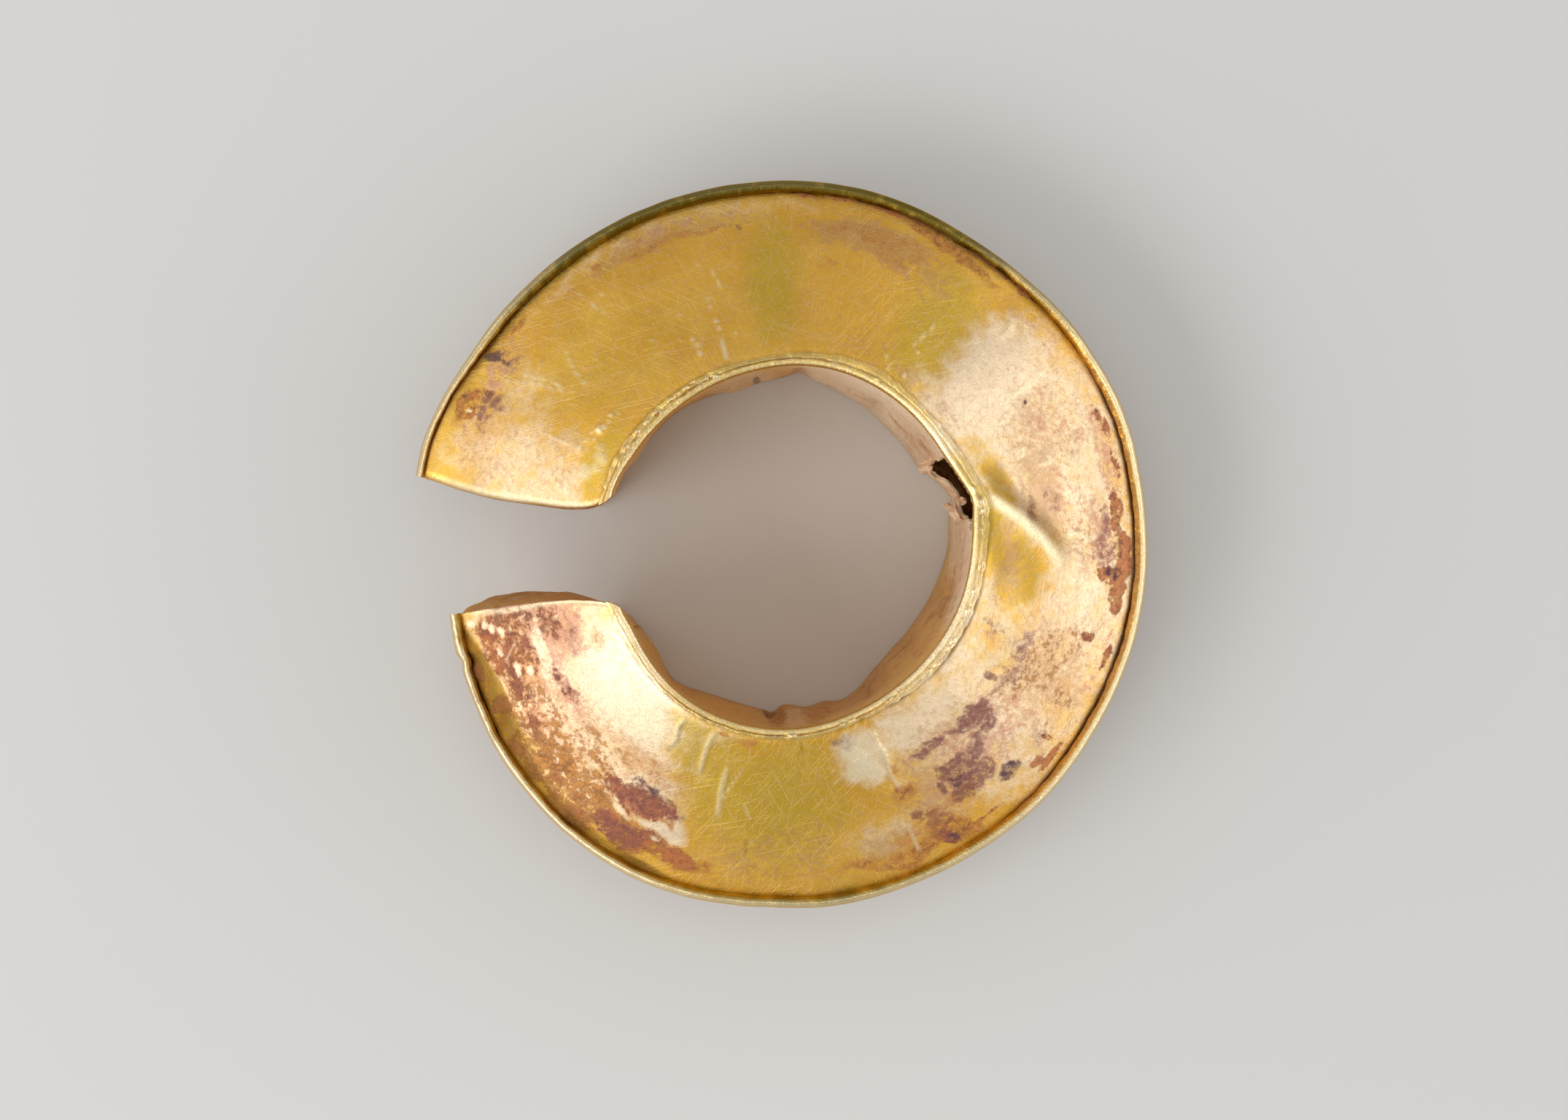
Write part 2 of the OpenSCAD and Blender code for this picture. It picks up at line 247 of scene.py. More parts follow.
# %% A flat band from a spun edge
AXIS = (0, 0, 1)
CENTRE = (0, 0, 0)
# Degrees that the fine stations at each end reach, and how many there are
END_REACH = 6
END_STEPS = 14
# Points this close in metres are joined. Folds sharper than this in degrees look sharp
WELD = 1e-7
SHARP_FROM = 55
# One face in so many tells whether a sheet faces outward
SAMPLE_STEP = 25


def flat_band(across, around):
    """A band of faces from radius 1 to 2: its bmesh, each point's share across and its station"""
    band = bmesh.new()
    ends = [band.verts.new((1, 0, 0)), band.verts.new((2, 0, 0))]
    bmesh.ops.subdivide_edges(band, edges=[band.edges.new(ends)], cuts=across - 1)
    start = Matrix.Rotation(math.radians(-end_a), 3, "Z")
    bmesh.ops.rotate(band, verts=band.verts[:], cent=CENTRE, matrix=start)
    last = band.verts[:] + band.edges[:]
    middle = 2 * (end_a - END_REACH)
    for degrees, steps in [(END_REACH, END_STEPS), (middle, around), (END_REACH, END_STEPS)]:
        spun = bmesh.ops.spin(band, geom=last, cent=CENTRE, axis=AXIS, dvec=CENTRE,
                              angle=math.radians(degrees), steps=steps, use_merge=False)
        last = spun["geom_last"]
    places = np.array([point.co for point in band.verts])
    station, r = round_ring(places[:, 0], places[:, 1])
    return band, r - 1, station


def flat_grid(across, up):
    """A flat grid of faces: its bmesh and each point's shares of the way across and up"""
    grid = bmesh.new()
    bmesh.ops.create_grid(grid, x_segments=across, y_segments=up, size=0.5)
    places = np.array([point.co for point in grid.verts])
    return grid, places[:, 0] + 0.5, places[:, 1] + 0.5


def move_points(band, x, y, z):
    """Puts every point of a band at its real place, given in millimetres"""
    for point, place in zip(band.verts, np.column_stack([x, y, z]) * MM):
        point.co = place


def finish_sheet(band, name, outward, thickness):
    """Turns the faces outward, gives the sheet its thickness and makes it an object"""
    bmesh.ops.remove_doubles(band, verts=band.verts[:], dist=WELD)
    bmesh.ops.recalc_face_normals(band, faces=band.faces[:])
    sample = list(band.faces)[::SAMPLE_STEP]
    if sum(face.normal.dot(outward(face.calc_center_median())) for face in sample) < 0:
        bmesh.ops.reverse_faces(band, faces=band.faces[:])
    bmesh.ops.solidify(band, geom=band.faces[:], thickness=thickness * MM)
    mesh = bpy.data.meshes.new(name)
    band.to_mesh(mesh)
    band.free()
    mesh.shade_smooth()
    mesh.set_sharp_from_angle(angle=math.radians(SHARP_FROM))
    mesh.calc_loop_triangles()
    print(f"{name}: {len(mesh.loop_triangles)} triangles")
    return add_object(name, mesh)


print("steps at each end:", END_STEPS)

# %% [markdown]
# ## The two arms' ends
# Both arms stop short of each other, and neither end is square: the corner at the tube is rounded
# off and the edge bulges a little. Past station 150 the stations lean over until the last one
# follows the end. There the sheet is rolled down over the end plate, first round an arc, then
# straight, as a goldsmith burnishes an edge over.

# %% Where the arms end and how the sheet is rolled there
# Radii between which the front face falls from the lip to the rim
FALL_FROM = 7.6
FALL_TO = 14.3
# Length of sheet at each end over which the roll's extra length is gathered
ROLL_REACH = 1.1
QUARTER = math.pi / 2


def end_angle(r, upper):
    """Where an arm ends at a radius, in degrees without a sign"""
    return np.where(upper, smooth(ENDS, r, 1), -smooth(ENDS, r, 2))


def lined_up(r, z):
    """The radius that hides a low place straight below the front plate's end edge"""
    face_z = np.interp(r, [FALL_FROM, FALL_TO], [plate_top, ring_mid + edge_half])
    return r * (1 - np.clip(face_z - z, 0, None) / CAMERA_HEIGHT)


def arm_angle(station, r):
    """The true angle of a station at a radius, without its sign"""
    far = ramp(np.abs(station), arm_a, end_a - arm_a)
    reached = mix(arm_a, end_angle(r, station > 0), far)
    return np.where(np.abs(station) < arm_a, np.abs(station), reached)


def on_arm(station, r, z):
    """Places in millimetres of points on an arm"""
    return *polar(arm_angle(station, lined_up(r, z)) * np.sign(station), r), z


def rolled_end(station, r, z, roll_r, straight, down):
    """Places on an arm whose sheet is rolled over at its end. down is 1, or -1 on the back"""
    edge_r = lined_up(r, z)
    end = end_angle(edge_r, station > 0)
    left = np.radians(end - arm_angle(station, edge_r)) * r
    extra = straight + (QUARTER - 1) * roll_r
    along = left + extra * ramp(left, 0, ROLL_REACH)
    turn = np.clip((along - straight) / roll_r, 0, QUARTER)
    on_top = np.clip(along - straight - roll_r * QUARTER, 0, None)
    back = roll_r * (1 - np.cos(turn)) + on_top
    drop = roll_r * (1 - np.sin(turn)) + np.clip(straight - along, 0, None)
    return *polar((end - np.degrees(back / r)) * np.sign(station), r), z - down * drop


print("upper end at mid arm:", round(float(end_angle(np.array([11.0]), True)[0]), 1), "degrees")

# %% [markdown]
# ## Marks left by hand and time
# The face has a sharp crease where it was bent, thin raised lines where the sheet wrinkled or was
# scored from behind, tiny warts where earth grains pressed into it, and scratches. They could be
# sculpted, but a list of lines and spots says where each one is and can be corrected one by one.
# Each is a place as seen, a width and a height.

# %% Lines and spots that stand up or go down
# The fold's crest as (angle, radius), widths of its two sides, height, and the valley beside it
FOLD_CREST = [(14.5, 8.25), (9.8, 8.95), (6.2, 9.6), (2, 10.3), (-5.5, 11.5)]
FOLD_STEEP = 0.36
FOLD_GENTLE = 0.95
FOLD_RISE = 0.20
FOLD_VALLEY = 0.07
VALLEY_MIDDLE = 2.3 * FOLD_STEEP
# points as (angle, radius), half width, height
RAISED_LINES = [
    ([(-64.4, 11), (-65.3, 10.3), (-64.2, 9.6), (-65.1, 8.9), (-64.4, 8.2)], 0.15, 0.05),
    ([(-103.6, 11.4), (-104.4, 10.3), (-104.2, 9.2)], 0.14, 0.05),
    ([(-110.3, 10), (-110.8, 8.9), (-110.3, 8)], 0.15, 0.06),
    ([(-119.8, 9.5), (-118.8, 9), (-120.1, 8.5), (-119.3, 8)], 0.14, 0.05),
    ([(10, 12.2), (9.2, 11.9), (10.4, 11.6), (9.8, 11.4)], 0.14, 0.05),
    ([(1.7, 12.7), (0.7, 12.2), (2.1, 11.8), (1.3, 11.3)], 0.14, 0.05),
    ([(33.6, 12.6), (32.9, 11.5), (32.5, 10.4)], 0.12, 0.03), ([(44, 13), (43.5, 12)], 0.13, 0.04),
    ([(22, 10), (21.5, 10.4), (20.4, 10.3), (20.7, 9.9)], 0.13, 0.05),
    ([(17.2, 11.5), (17, 10.7)], 0.12, 0.04), ([(107, 8.7), (107.1, 8.2), (107.2, 7.7)], 0.14, 0.04),
]
SCRATCHES = [
    ([(150, 13.2), (147, 11.8), (145, 10.5)], 0.1, 0.016),
    ([(147.5, 12.8), (145.4, 11.6), (144.4, 10.4)], 0.1, 0.014),
    ([(138.5, 11.8), (140.5, 10.9), (141.7, 10)], 0.1, 0.014), ([(155.6, 10.8), (155.3, 9.4)], 0.1, 0.016),
    ([(129.2, 13.1), (128.8, 12.4), (128, 11.7)], 0.1, 0.012),
    ([(105, 11.5), (104.3, 11), (103.9, 10.6)], 0.1, 0.016), ([(-97, 11.2), (-99, 10.5)], 0.1, -0.02),
    ([(-104, 10.8), (-102.4, 9.9), (-100, 9.1)], 0.1, -0.02), ([(-157, 12.2), (-160.5, 11.4)], 0.12, -0.03),
    ([(-125.5, 11.9), (-128.5, 12.2)], 0.1, -0.02), ([(57, 9.4), (56, 10.2), (55, 11)], 0.1, 0.014),
    ([(14.5, 7.7), (14.7, 8), (14.3, 8.35)], 0.12, -0.07),
]
# angle, radius, half width, height
SPOTS = [
    (114, 9, 0.17, 0.06), (113.4, 8.7, 0.17, 0.06), (113.8, 8.35, 0.18, 0.07), (107, 10.35, 0.15, 0.05),
    (107.2, 10.05, 0.15, 0.05), (107, 9.4, 0.17, 0.06), (106.7, 9.1, 0.17, 0.06), (114.5, 10.1, 0.13, 0.04),
    (103, 8.7, 0.12, 0.05), (107, 11.75, 0.12, 0.05), (123, 9.8, 0.12, 0.04), (126, 12.45, 0.11, 0.05),
    (148.2, 8.75, 0.22, 0.1), (146.8, 8.65, 0.16, 0.07), (159, 9.6, 0.15, 0.05), (157.4, 9.35, 0.14, 0.05),
    (155.3, 9.1, 0.18, 0.07), (153.8, 9.1, 0.13, 0.05), (152.4, 8.95, 0.15, 0.05),
    (151.2, 8.75, 0.14, 0.04), (149.9, 8.95, 0.12, 0.04), (145, 8.62, 0.13, 0.05),
    (143.4, 8.68, 0.15, 0.06), (141.6, 8.52, 0.12, 0.05), (161, 8.5, 0.45, 0.05), (155, 8.15, 0.4, 0.04),
    (152.5, 8.35, 0.3, 0.03), (158.5, 8.2, 0.35, 0.04), (55, 9.4, 0.15, 0.05), (54.6, 8.3, 0.18, 0.06),
    (61.5, 8.6, 0.14, 0.05), (59.5, 8.25, 0.13, 0.04), (-36.5, 10.8, 0.16, 0.06), (-46, 10.4, 0.14, 0.06),
    (-23, 10.3, 0.14, 0.05), (-24, 12.4, 0.16, 0.06), (-25.6, 12.2, 0.13, 0.05), (-22.8, 12.1, 0.12, 0.04),
    (-27, 12.5, 0.12, 0.04), (-24, 13.4, 0.13, 0.05), (-29, 11.6, 0.12, 0.04), (-159.8, 10.5, 0.17, 0.06),
    (-160.3, 10.1, 0.15, 0.05), (-162.3, 9.7, 0.16, 0.06), (-163, 10.5, 0.16, 0.06),
    (-161.5, 11.2, 0.14, 0.05), (-162.8, 11.6, 0.14, 0.05), (-160.8, 12, 0.15, 0.05),
    (-164.2, 11, 0.13, 0.05), (12.5, 8.2, 0.26, 0.1), (10.2, 8.25, 0.22, 0.08),
]
# angle, radius, half length along the ring, half width, height of broad dents
DENTS = [
    (38, 10.4, 3, 2.6, 0.12), (54, 10.6, 2.2, 3, -0.12), (92, 10.6, 1.6, 3.2, -0.09),
    (76, 10.6, 2.4, 3, 0.06), (-9, 9.3, 2, 1.35, -0.24), (19, 8.9, 1.3, 0.6, -0.1),
    (-36, 9.4, 2.6, 1.7, 0.1), (-69, 9.3, 1.4, 1.6, 0.08), (-86, 10.2, 2, 2.6, -0.08),
    (-136, 8.9, 4.4, 1.9, 0.1), (-107, 10, 2.2, 2.4, -0.07), (160, 10.6, 2.6, 3.2, 0.08),
    (140, 10.4, 3.4, 3, -0.06), (12, 12.3, 2.4, 1.5, 0.1), (118, 10.5, 3, 3, 0.05),
]
print("lines:", len(RAISED_LINES) + len(SCRATCHES), "spots:", len(SPOTS), "dents:", len(DENTS))

# %% [markdown]
# A line is a ridge or a groove beside a few straight pieces, so a place only needs its distance from
# the nearest one. A spot needs its distance from one middle. Both fall smoothly to nothing at their
# edge, as the push of a blunt tool does, where cuts in the mesh would leave steps.

# %% Heights of lines and spots
def bump(distance):
    """1 at no distance, falling smoothly to 0 at distance 1"""
    return np.clip(1 - distance * distance, 0, 1) ** 2


def beside_line(points, x, y):
    """Distance from a line, share of the way along it, and the side: 1 to its right, -1 to its left"""
    nearest = np.full(len(x), 99.0)
    share = np.zeros(len(x))
    side = np.zeros(len(x))
    pieces = len(points) - 1
    for n in range(pieces):
        from_x, from_y = polar(*points[n])
        to_x, to_y = polar(*points[n + 1])
        way_x = to_x - from_x
        way_y = to_y - from_y
        k = ((x - from_x) * way_x + (y - from_y) * way_y) / (way_x ** 2 + way_y ** 2)
        k = np.clip(k, 0, 1)
        away = np.hypot(x - from_x - k * way_x, y - from_y - k * way_y)
        closer = away < nearest
        nearest = np.where(closer, away, nearest)
        share = np.where(closer, (n + k) / pieces, share)
        side = np.where(closer, np.sign((x - from_x) * way_y - (y - from_y) * way_x), side)
    return nearest, share, side


def line_marks(lines, angle, r, ends=4, join=np.add):
    """Heights of all lines, joined at places as seen. A higher ends keeps a line strong for longer"""
    x, y = polar(angle, r)
    total = np.zeros(len(r))
    for points, half_width, rise in lines:
        away, along = beside_line(points, x, y)[:2]
        fade = 1 - np.abs(2 * along - 1) ** ends
        total = join(total, rise * fade * bump(away / half_width))
    return total


def fold_relief(angle, r):
    """Height of the sharp fold at the right: steep on its upper right side, gentle on the other"""
    away, along, side = beside_line(FOLD_CREST, *polar(angle, r))
    across = away * side
    width = np.where(across > 0, FOLD_GENTLE, FOLD_STEEP)
    crest = FOLD_RISE * np.exp(-(across / width) ** 2)
    valley = FOLD_VALLEY * np.exp(-((across + VALLEY_MIDDLE) / FOLD_STEEP) ** 2)
    return (crest - valley) * (1 - np.abs(2 * along - 1) ** 3)


def spot_relief(spots, angle, r, up=None):
    """Height of all spots: (angle, middle, half length, half width, height), or with one size.
    r turns angles into lengths. up is measured as the middles are, and is r where none is given"""
    up = r if up is None else up
    height = np.zeros(len(up))
    for at, middle, *sizes, rise in spots:
        along = r * np.radians(angle - at) / sizes[0]
        across = (up - middle) / sizes[-1]
        height += rise * bump(np.hypot(along, across))
    return height


crest_height = fold_relief(np.array([6.2]), np.array([9.6]))[0]
print(f"height of the fold near its middle {crest_height:.2f} mm")

# %% [markdown]
# ## The front face plate
# This is the sheet that the world sees: a wide cone with a flatter margin, which at the lower left
# is bent down. Its inner edge hides under the tube's lip, and its outer edge under the binding. A
# lathe shape would be too clean, so the cone's height is worked out at each point from the tables.

# %% Section of the front face plate
# A plate starts this far outside the tube's wall and lies flat until past the tube's lip
TUBE_ROOM = sheet_t + gap + 0.02
PAST_LIP = 0.08
LIP_BEND = 0.12
# Widths of the bend between the cone and its margin: all round, and pushed down at the lower left
KNEE_BEND = 0.30
MARGIN_BEND = 0.08
# Degrees at which the pushed-down part ends, and over which the bend widens after it
PUSHED_TO = -138
PUSHED_FADE = 20
# Radii between which the sheet waves, and the width over which the waves fade in and out
WAVES_FROM = 7.9
WAVES_TO = 14.2
WAVES_FADE = 0.8


def front_r(station):
    """Radius of the tube's front edge, where its lip is folded out"""
    return tube_r + smooth(LIP, station, 1)


def lip_r(station):
    """Radius of the front lip's outer edge"""
    return front_r(station) + smooth(LIP, station, 2)


def binding_r(station):
    """Radius of the rim, at the outside of the binding strip"""
    return ring_r + smooth(RIM, station, 1)


def plate_r(station):
    """Radius of the plates' outer edge"""
    return binding_r(station) - smooth(RIM, station, 2)


def front_section(share, station):
    """Radius and height of the unmarked front plate"""
    start = front_r(station) + TUBE_ROOM
    bend = np.maximum(start + sheet_t, lip_r(station) + PAST_LIP)
    edge = plate_r(station)
    edge_z = ring_mid + edge_half
    knee = ring_r + smooth(KNEE, station, 1)
    cone = (plate_top - edge_z) / (edge - bend)
    knee_z = edge_z + cone * (edge - knee) + smooth(KNEE, station, 2)
    face_slope = (knee_z - plate_top) / (knee - bend)
    margin_slope = (edge_z - knee_z) / (edge - knee)
    r = mix(start, edge, share)
    z = plate_top + face_slope * soft_ramp(r - bend, LIP_BEND)
    rounding = mix(MARGIN_BEND, KNEE_BEND, ramp(station, PUSHED_TO, PUSHED_FADE))
    z += (margin_slope - face_slope) * soft_ramp(r - knee, rounding)
    return r, z


def hand_waves(x, y, r, strength):
    """Low waves of a hand-beaten sheet, none at its pressed edges"""
    free = ramp(r, WAVES_FROM, WAVES_FADE) * ramp(r, WAVES_TO, -WAVES_FADE)
    return strength * free * (waves(x, y, 2.6, 3) + 0.35 * waves(x, y, 0.9, 4))


print("edge of the front plate at the top:", round(float(plate_r(90)), 2), "mm")

# %% [markdown]
# Now the band is bent into the plate. The marks were noted as seen, so each point's angle and radius
# as seen are worked out before marks are added. The bead before the lower end and the lifted edge
# at the upper left could be lines too, but they follow the end and the rim, so their height comes
# from the distance to those. Last, both ends are rolled over.

# %% Beat the front face plate
FRONT_ACROSS = 66
FRONT_AROUND = 520
FRONT_WAVES = 0.045
# A raised bead before the lower end: height, middle from the end, half width
BEAD_RISE = 0.13
BEAD_MIDDLE = 0.12
BEAD_HALF = 0.26
# How far the outer edge is lifted, all round and at the upper left, and the width of that band
PLAIN_LIFT = 0.09
EDGE_LIFT = 0.36
LIFT_WIDTH = 1.1
# Degrees from which the edge rises towards the upper left, and over which it does
LIFT_FROM = 146
LIFT_FADE = 14
# Radii of the rolls at the two ends, and the straight part after them
UPPER_ROLL = 0.30
LOWER_ROLL = 0.16
ROLL_STRAIGHT = 0.08

band, share, station = flat_band(FRONT_ACROSS, FRONT_AROUND)
r, z = front_section(share, station)
x, y, z = on_arm(station, r, z)
angle, seen_r = as_seen(x, y, z)
z += fold_relief(angle, seen_r) + line_marks(RAISED_LINES + SCRATCHES, angle, seen_r)
z += spot_relief(SPOTS, angle, seen_r) + spot_relief(DENTS, angle, seen_r)
z += hand_waves(x, y, r, FRONT_WAVES)
from_end = np.radians(end_angle(r, station > 0) - arm_angle(station, r)) * r
z += np.where(station < 0, BEAD_RISE * bump((from_end - BEAD_MIDDLE) / BEAD_HALF), 0)
# At the upper left the plate's edge stands as high as the strip beside it
lift = mix(PLAIN_LIFT, EDGE_LIFT, ramp(station, LIFT_FROM, LIFT_FADE))
z += lift * ramp(r, plate_r(station) - LIFT_WIDTH, LIFT_WIDTH) ** 1.5
roll_r = np.where(station > 0, UPPER_ROLL, LOWER_ROLL)
x, y, z = rolled_end(station, r, z, roll_r, ROLL_STRAIGHT, 1)
move_points(band, x, y, z)
front_plate = finish_sheet(band, "front_plate_dressed", lambda place: (0, 0, 1), sheet_t)

# %% [markdown]
# ## The back face plate
# The back mirrors the front. It isn't in view, so it gets only the plain cone, hand-beaten waves
# and rolled ends. It is made from the same flat band with fewer steps, because nothing fine is on
# it.

# %% Shape the back face plate
BACK_LIP = 0.6
BACK_ACROSS = 36
BACK_AROUND = 300
BACK_WAVES = 0.05
BACK_HOLLOW = 0.12
BACK_ROLL = 0.2
BACK_STRAIGHT = 0.38


def back_r(station):
    """Radius of the tube's back edge, where its lip is folded out"""
    return tube_r + smooth(BACK_EDGE, station, 1)


def back_section(share, station):
    """Radius and height of the back plate, a cone that is a little hollow"""
    start = back_r(station) + TUBE_ROOM
    bend = back_r(station) + BACK_LIP + PAST_LIP
    edge = plate_r(station)
    low = ring_h - plate_top
    r = mix(start, edge, share)
    slope = (ring_mid - edge_half - low) / (edge - bend)
    z = low + slope * soft_ramp(r - bend, LIP_BEND) - BACK_HOLLOW * np.sin(math.pi * share) ** 2
    return r, np.maximum(z, low)


band, share, station = flat_band(BACK_ACROSS, BACK_AROUND)
r, z = back_section(share, station)
x, y, z = on_arm(station, r, z)
z += np.abs(hand_waves(y, x, r, BACK_WAVES))
x, y, z = rolled_end(station, r, z, BACK_ROLL, BACK_STRAIGHT, -1)
move_points(band, x, y, z)
back_plate = finish_sheet(band, "back_plate_dressed", lambda place: (0, 0, -1), sheet_t)

# %% [markdown]
# ## The inner tube
# The hole is lined with a split tube, whose two edges are folded out over the plates as narrow lips.
# The front lip was hammered down with a small tool and is crimped along the upper left. The wall
# is crumpled, because the sheet is thin and the tube was squeezed. One shape function runs along
# the section: back lip, fold, wall, fold, front lip. It could be a curve with a bevel, but then the
# lips could not change their width round the ring.

# %% Section of the inner tube
# Shares across the band at which the back lip, its fold, the wall, the front fold and the front lip
# begin, and the share at which the last one ends
PARTS = [0, 0.05, 0.11, 0.74, 0.82, 1]
# How far the lip's outer edge wavers
LIP_WAVER = 0.05


def tube_section(share, station):
    """Radius and height along the section, and the shares of the way up the wall and out on the lip"""
    k = [ramp(share, a, b - a) for a, b in zip(PARTS, PARTS[1:])]
    back = back_r(station)
    front = front_r(station)
    width = lip_r(station) - front + LIP_WAVER * waves(station, station * 0, 1.7, 8)
    r = back + BACK_LIP - (BACK_LIP - fold_r) * k[0] - fold_r * np.sin(k[1] * QUARTER)
    r += (front - back) * k[2] + fold_r * (1 - np.cos(k[3] * QUARTER)) + (width - fold_r) * k[4]
    z = fold_r * (1 - np.cos(k[1] * QUARTER)) + (ring_h - 2 * fold_r) * k[2]
    z += fold_r * np.sin(k[3] * QUARTER)
    return r, z, k[2], k[4]


print("parts of the section:", len(PARTS) - 1)

# %% [markdown]
# The wall's dents are listed by angle and height, because they hardly show from above, and they move
# the wall in or out. The lip's crimps are listed as seen. Low random waves add the small crumples
# that no list could hold.

# %% Crumple the tube
# angle, height, half length along the ring, half height, how far the wall goes inward
WALL_DENTS = [
    (106, 3, 1.4, 3, 0.22), (99.5, 3.4, 0.3, 3.2, -0.2), (95, 4, 0.7, 3, 0.14), (85, 4.5, 0.45, 4.5, -0.22),
    (78, 4, 0.9, 3.5, 0.16), (66, 3.2, 1.2, 3, 0.16), (56, 4.2, 0.35, 3.6, -0.16),
    (47, 3.6, 1.2, 3.4, 0.12), (36, 5, 1, 4, 0.12), (-8, 4, 0.9, 4, 0.12), (-17, 5, 0.35, 4.4, -0.14),
    (-28, 4.5, 1.1, 4.2, 0.16), (-39, 5.5, 0.4, 4.6, -0.12), (-50, 4.4, 0.9, 4, 0.14),
    (-61, 5, 0.4, 4.8, -0.16), (-73, 4.4, 0.5, 4.6, -0.14), (-79, 5, 0.6, 4.6, 0.1), (-84, 6, 0.5, 5, 0.22),
    (-91.5, 5, 0.28, 5.2, -0.24), (-95, 2.6, 0.3, 2.8, -0.2), (-103, 4.4, 1, 4.2, 0.16),
    (-114, 5, 0.9, 4.4, 0.14), (-122, 5.4, 0.35, 4.6, -0.12), (-140, 4, 1.4, 4, 0.2),
    (-152, 4.6, 0.4, 4.4, -0.16), (130, 5, 1.6, 4, -0.1), (150, 5.2, 1.3, 4, 0.1),
]
# angle, radius as seen, half width, height of the lip's crimps
LIP_CRIMPS = [
    (148.5, 7.45, 0.16, 0.17), (142.8, 7.45, 0.18, 0.2), (138.3, 7.4, 0.15, 0.17), (134.5, 7.4, 0.14, 0.15),
    (133, 7.25, 0.13, 0.14), (128, 7.4, 0.16, 0.19), (125.5, 7.45, 0.12, 0.15), (122, 7.4, 0.15, 0.17),
    (119.6, 7.5, 0.15, 0.19), (115, 7.35, 0.13, 0.15), (112.3, 7.25, 0.18, 0.22), (103, 7.2, 0.12, 0.1),
    (100, 7.25, 0.11, 0.09), (151.5, 7.3, 0.14, 0.12), (146, 7.25, 0.13, 0.12), (117, 7.2, 0.14, 0.12),
    (-6.5, 8, 0.16, 0.15), (-14, 7.9, 0.14, 0.12), (-18, 8, 0.13, 0.1), (-20, 7.85, 0.12, 0.1),
    (-23, 7.8, 0.13, 0.1), (-30, 7.85, 0.15, 0.12), (-32, 7.9, 0.13, 0.1), (-38.5, 7.85, 0.14, 0.12),
    (-41, 7.75, 0.12, 0.09), (-52, 7.5, 0.2, 0.14), (-56, 7.5, 0.2, 0.14), (-69, 7.6, 0.16, 0.14),
    (-72, 7.6, 0.15, 0.14), (-87.5, 7.7, 0.24, 0.14), (12, 8.1, 0.26, 0.2), (9.5, 8.15, 0.22, 0.17),
    (16, 7.9, 0.2, 0.14), (60, 7.6, 0.2, 0.07), (75, 7.6, 0.2, 0.07), (4, 8, 0.14, 0.09),
]
TUBE_ACROSS = 76
TUBE_AROUND = 480
# How far the wall is crumpled, and how uneven the lip is where it is smooth and where hammered
WALL_WAVES = 0.05
SMOOTH_LIP = 0.025
HAMMERED_LIP = 0.07
# Degrees between which the lip is hammered, and over which that begins and ends
HAMMERED_FROM = 104
HAMMERED_TO = 160
HAMMERED_FADE = 8
# The groove beside the folded edge: its depth, and its middle and half width as shares of the lip
GROOVE_DEPTH = 0.03
GROOVE_MIDDLE = 0.34
GROOVE_HALF = 0.14
# How far the lip's outer edge is pressed down
EDGE_PRESSED = 0.07

band, share, station = flat_band(TUBE_ACROSS, TUBE_AROUND)
r, z, up_wall, out_lip = tube_section(share, station)
wall_only = np.sin(math.pi * up_wall)
r -= spot_relief(WALL_DENTS, station, tube_r, z) * np.clip(wall_only * 3, 0, 1)
r -= WALL_WAVES * wall_only * waves(station / 9, z / 3.5, 1.0, 12)
x, y, z = on_arm(station, r, z)
angle, seen_r = as_seen(x, y, z)
near_hammer = ramp(angle, HAMMERED_FROM, HAMMERED_FADE) * ramp(angle, HAMMERED_TO, -HAMMERED_FADE)
hammered = mix(SMOOTH_LIP, HAMMERED_LIP, near_hammer)
on_lip = np.clip(out_lip * 4, 0, 1)
z += on_lip * (spot_relief(LIP_CRIMPS, angle, seen_r) + hammered * waves(x, y, 0.32, 21))
groove = GROOVE_DEPTH * bump((out_lip - GROOVE_MIDDLE) / GROOVE_HALF)
z -= on_lip * (groove + EDGE_PRESSED * out_lip ** 3)
move_points(band, x, y, z)
print("highest point of the lip:", round(float(z.max()), 2), "mm")

# %% [markdown]
# At the right the wall is torn away below the lip. A boolean would leave a clean cut. Instead the
# faces inside a measured outline are taken out, with the outline shaken a little, so the edge
# is ragged as torn foil is.

# %% Tear the wall open
# angle, lower edge of the tear as a share of the wall's height, upper edge
TEAR = [
    (4, 0.93, 0.97), (6, 0.84, 0.98), (8.5, 0.68, 0.99), (10, 0.45, 0.99), (13.5, 0.3, 0.99),
    (17, 0.25, 0.99), (21, 0.2, 0.99), (25, 0.15, 0.98), (28.5, 0.12, 0.97),
]
# Angle at which the tear ends, before it is shaken
TEAR_END = 28.4
# How far the lower edge, the upper edge and the end are shaken
LOWER_SHAKE = 0.04
UPPER_SHAKE = 0.01
END_SHAKE = 0.7


def inside_tear(at, up):
    """Whether places at an angle and a share of the wall's height are torn away"""
    low = smooth(TEAR, at, 1) + LOWER_SHAKE * waves(at, at * 0, 0.8, 31)
    high = smooth(TEAR, at, 2) + UPPER_SHAKE * waves(at, at * 0, 0.6, 32)
    end = TEAR_END + END_SHAKE * waves(up * 10, up * 0, 0.9, 33)
    return (at > TEAR[0][0]) & (at < end) & (up > low) & (up < high)


corners = np.array([[corner.index for corner in face.verts] for face in band.faces])
torn = inside_tear(station[corners].mean(1), up_wall[corners].mean(1))
band.faces.ensure_lookup_table()
gone = [band.faces[i] for i in np.flatnonzero(torn)]
bmesh.ops.delete(band, geom=gone, context="FACES")


def into_hole(place):
    """Outward for the wall is into the hole, and for the lip it is up"""
    return (-place.x, -place.y, 0) if place.z < (ring_h - 2 * sheet_t) * MM else (0, 0, 1)


tube = finish_sheet(band, "tube_dressed", into_hole, sheet_t)
print("faces torn out:", len(gone))

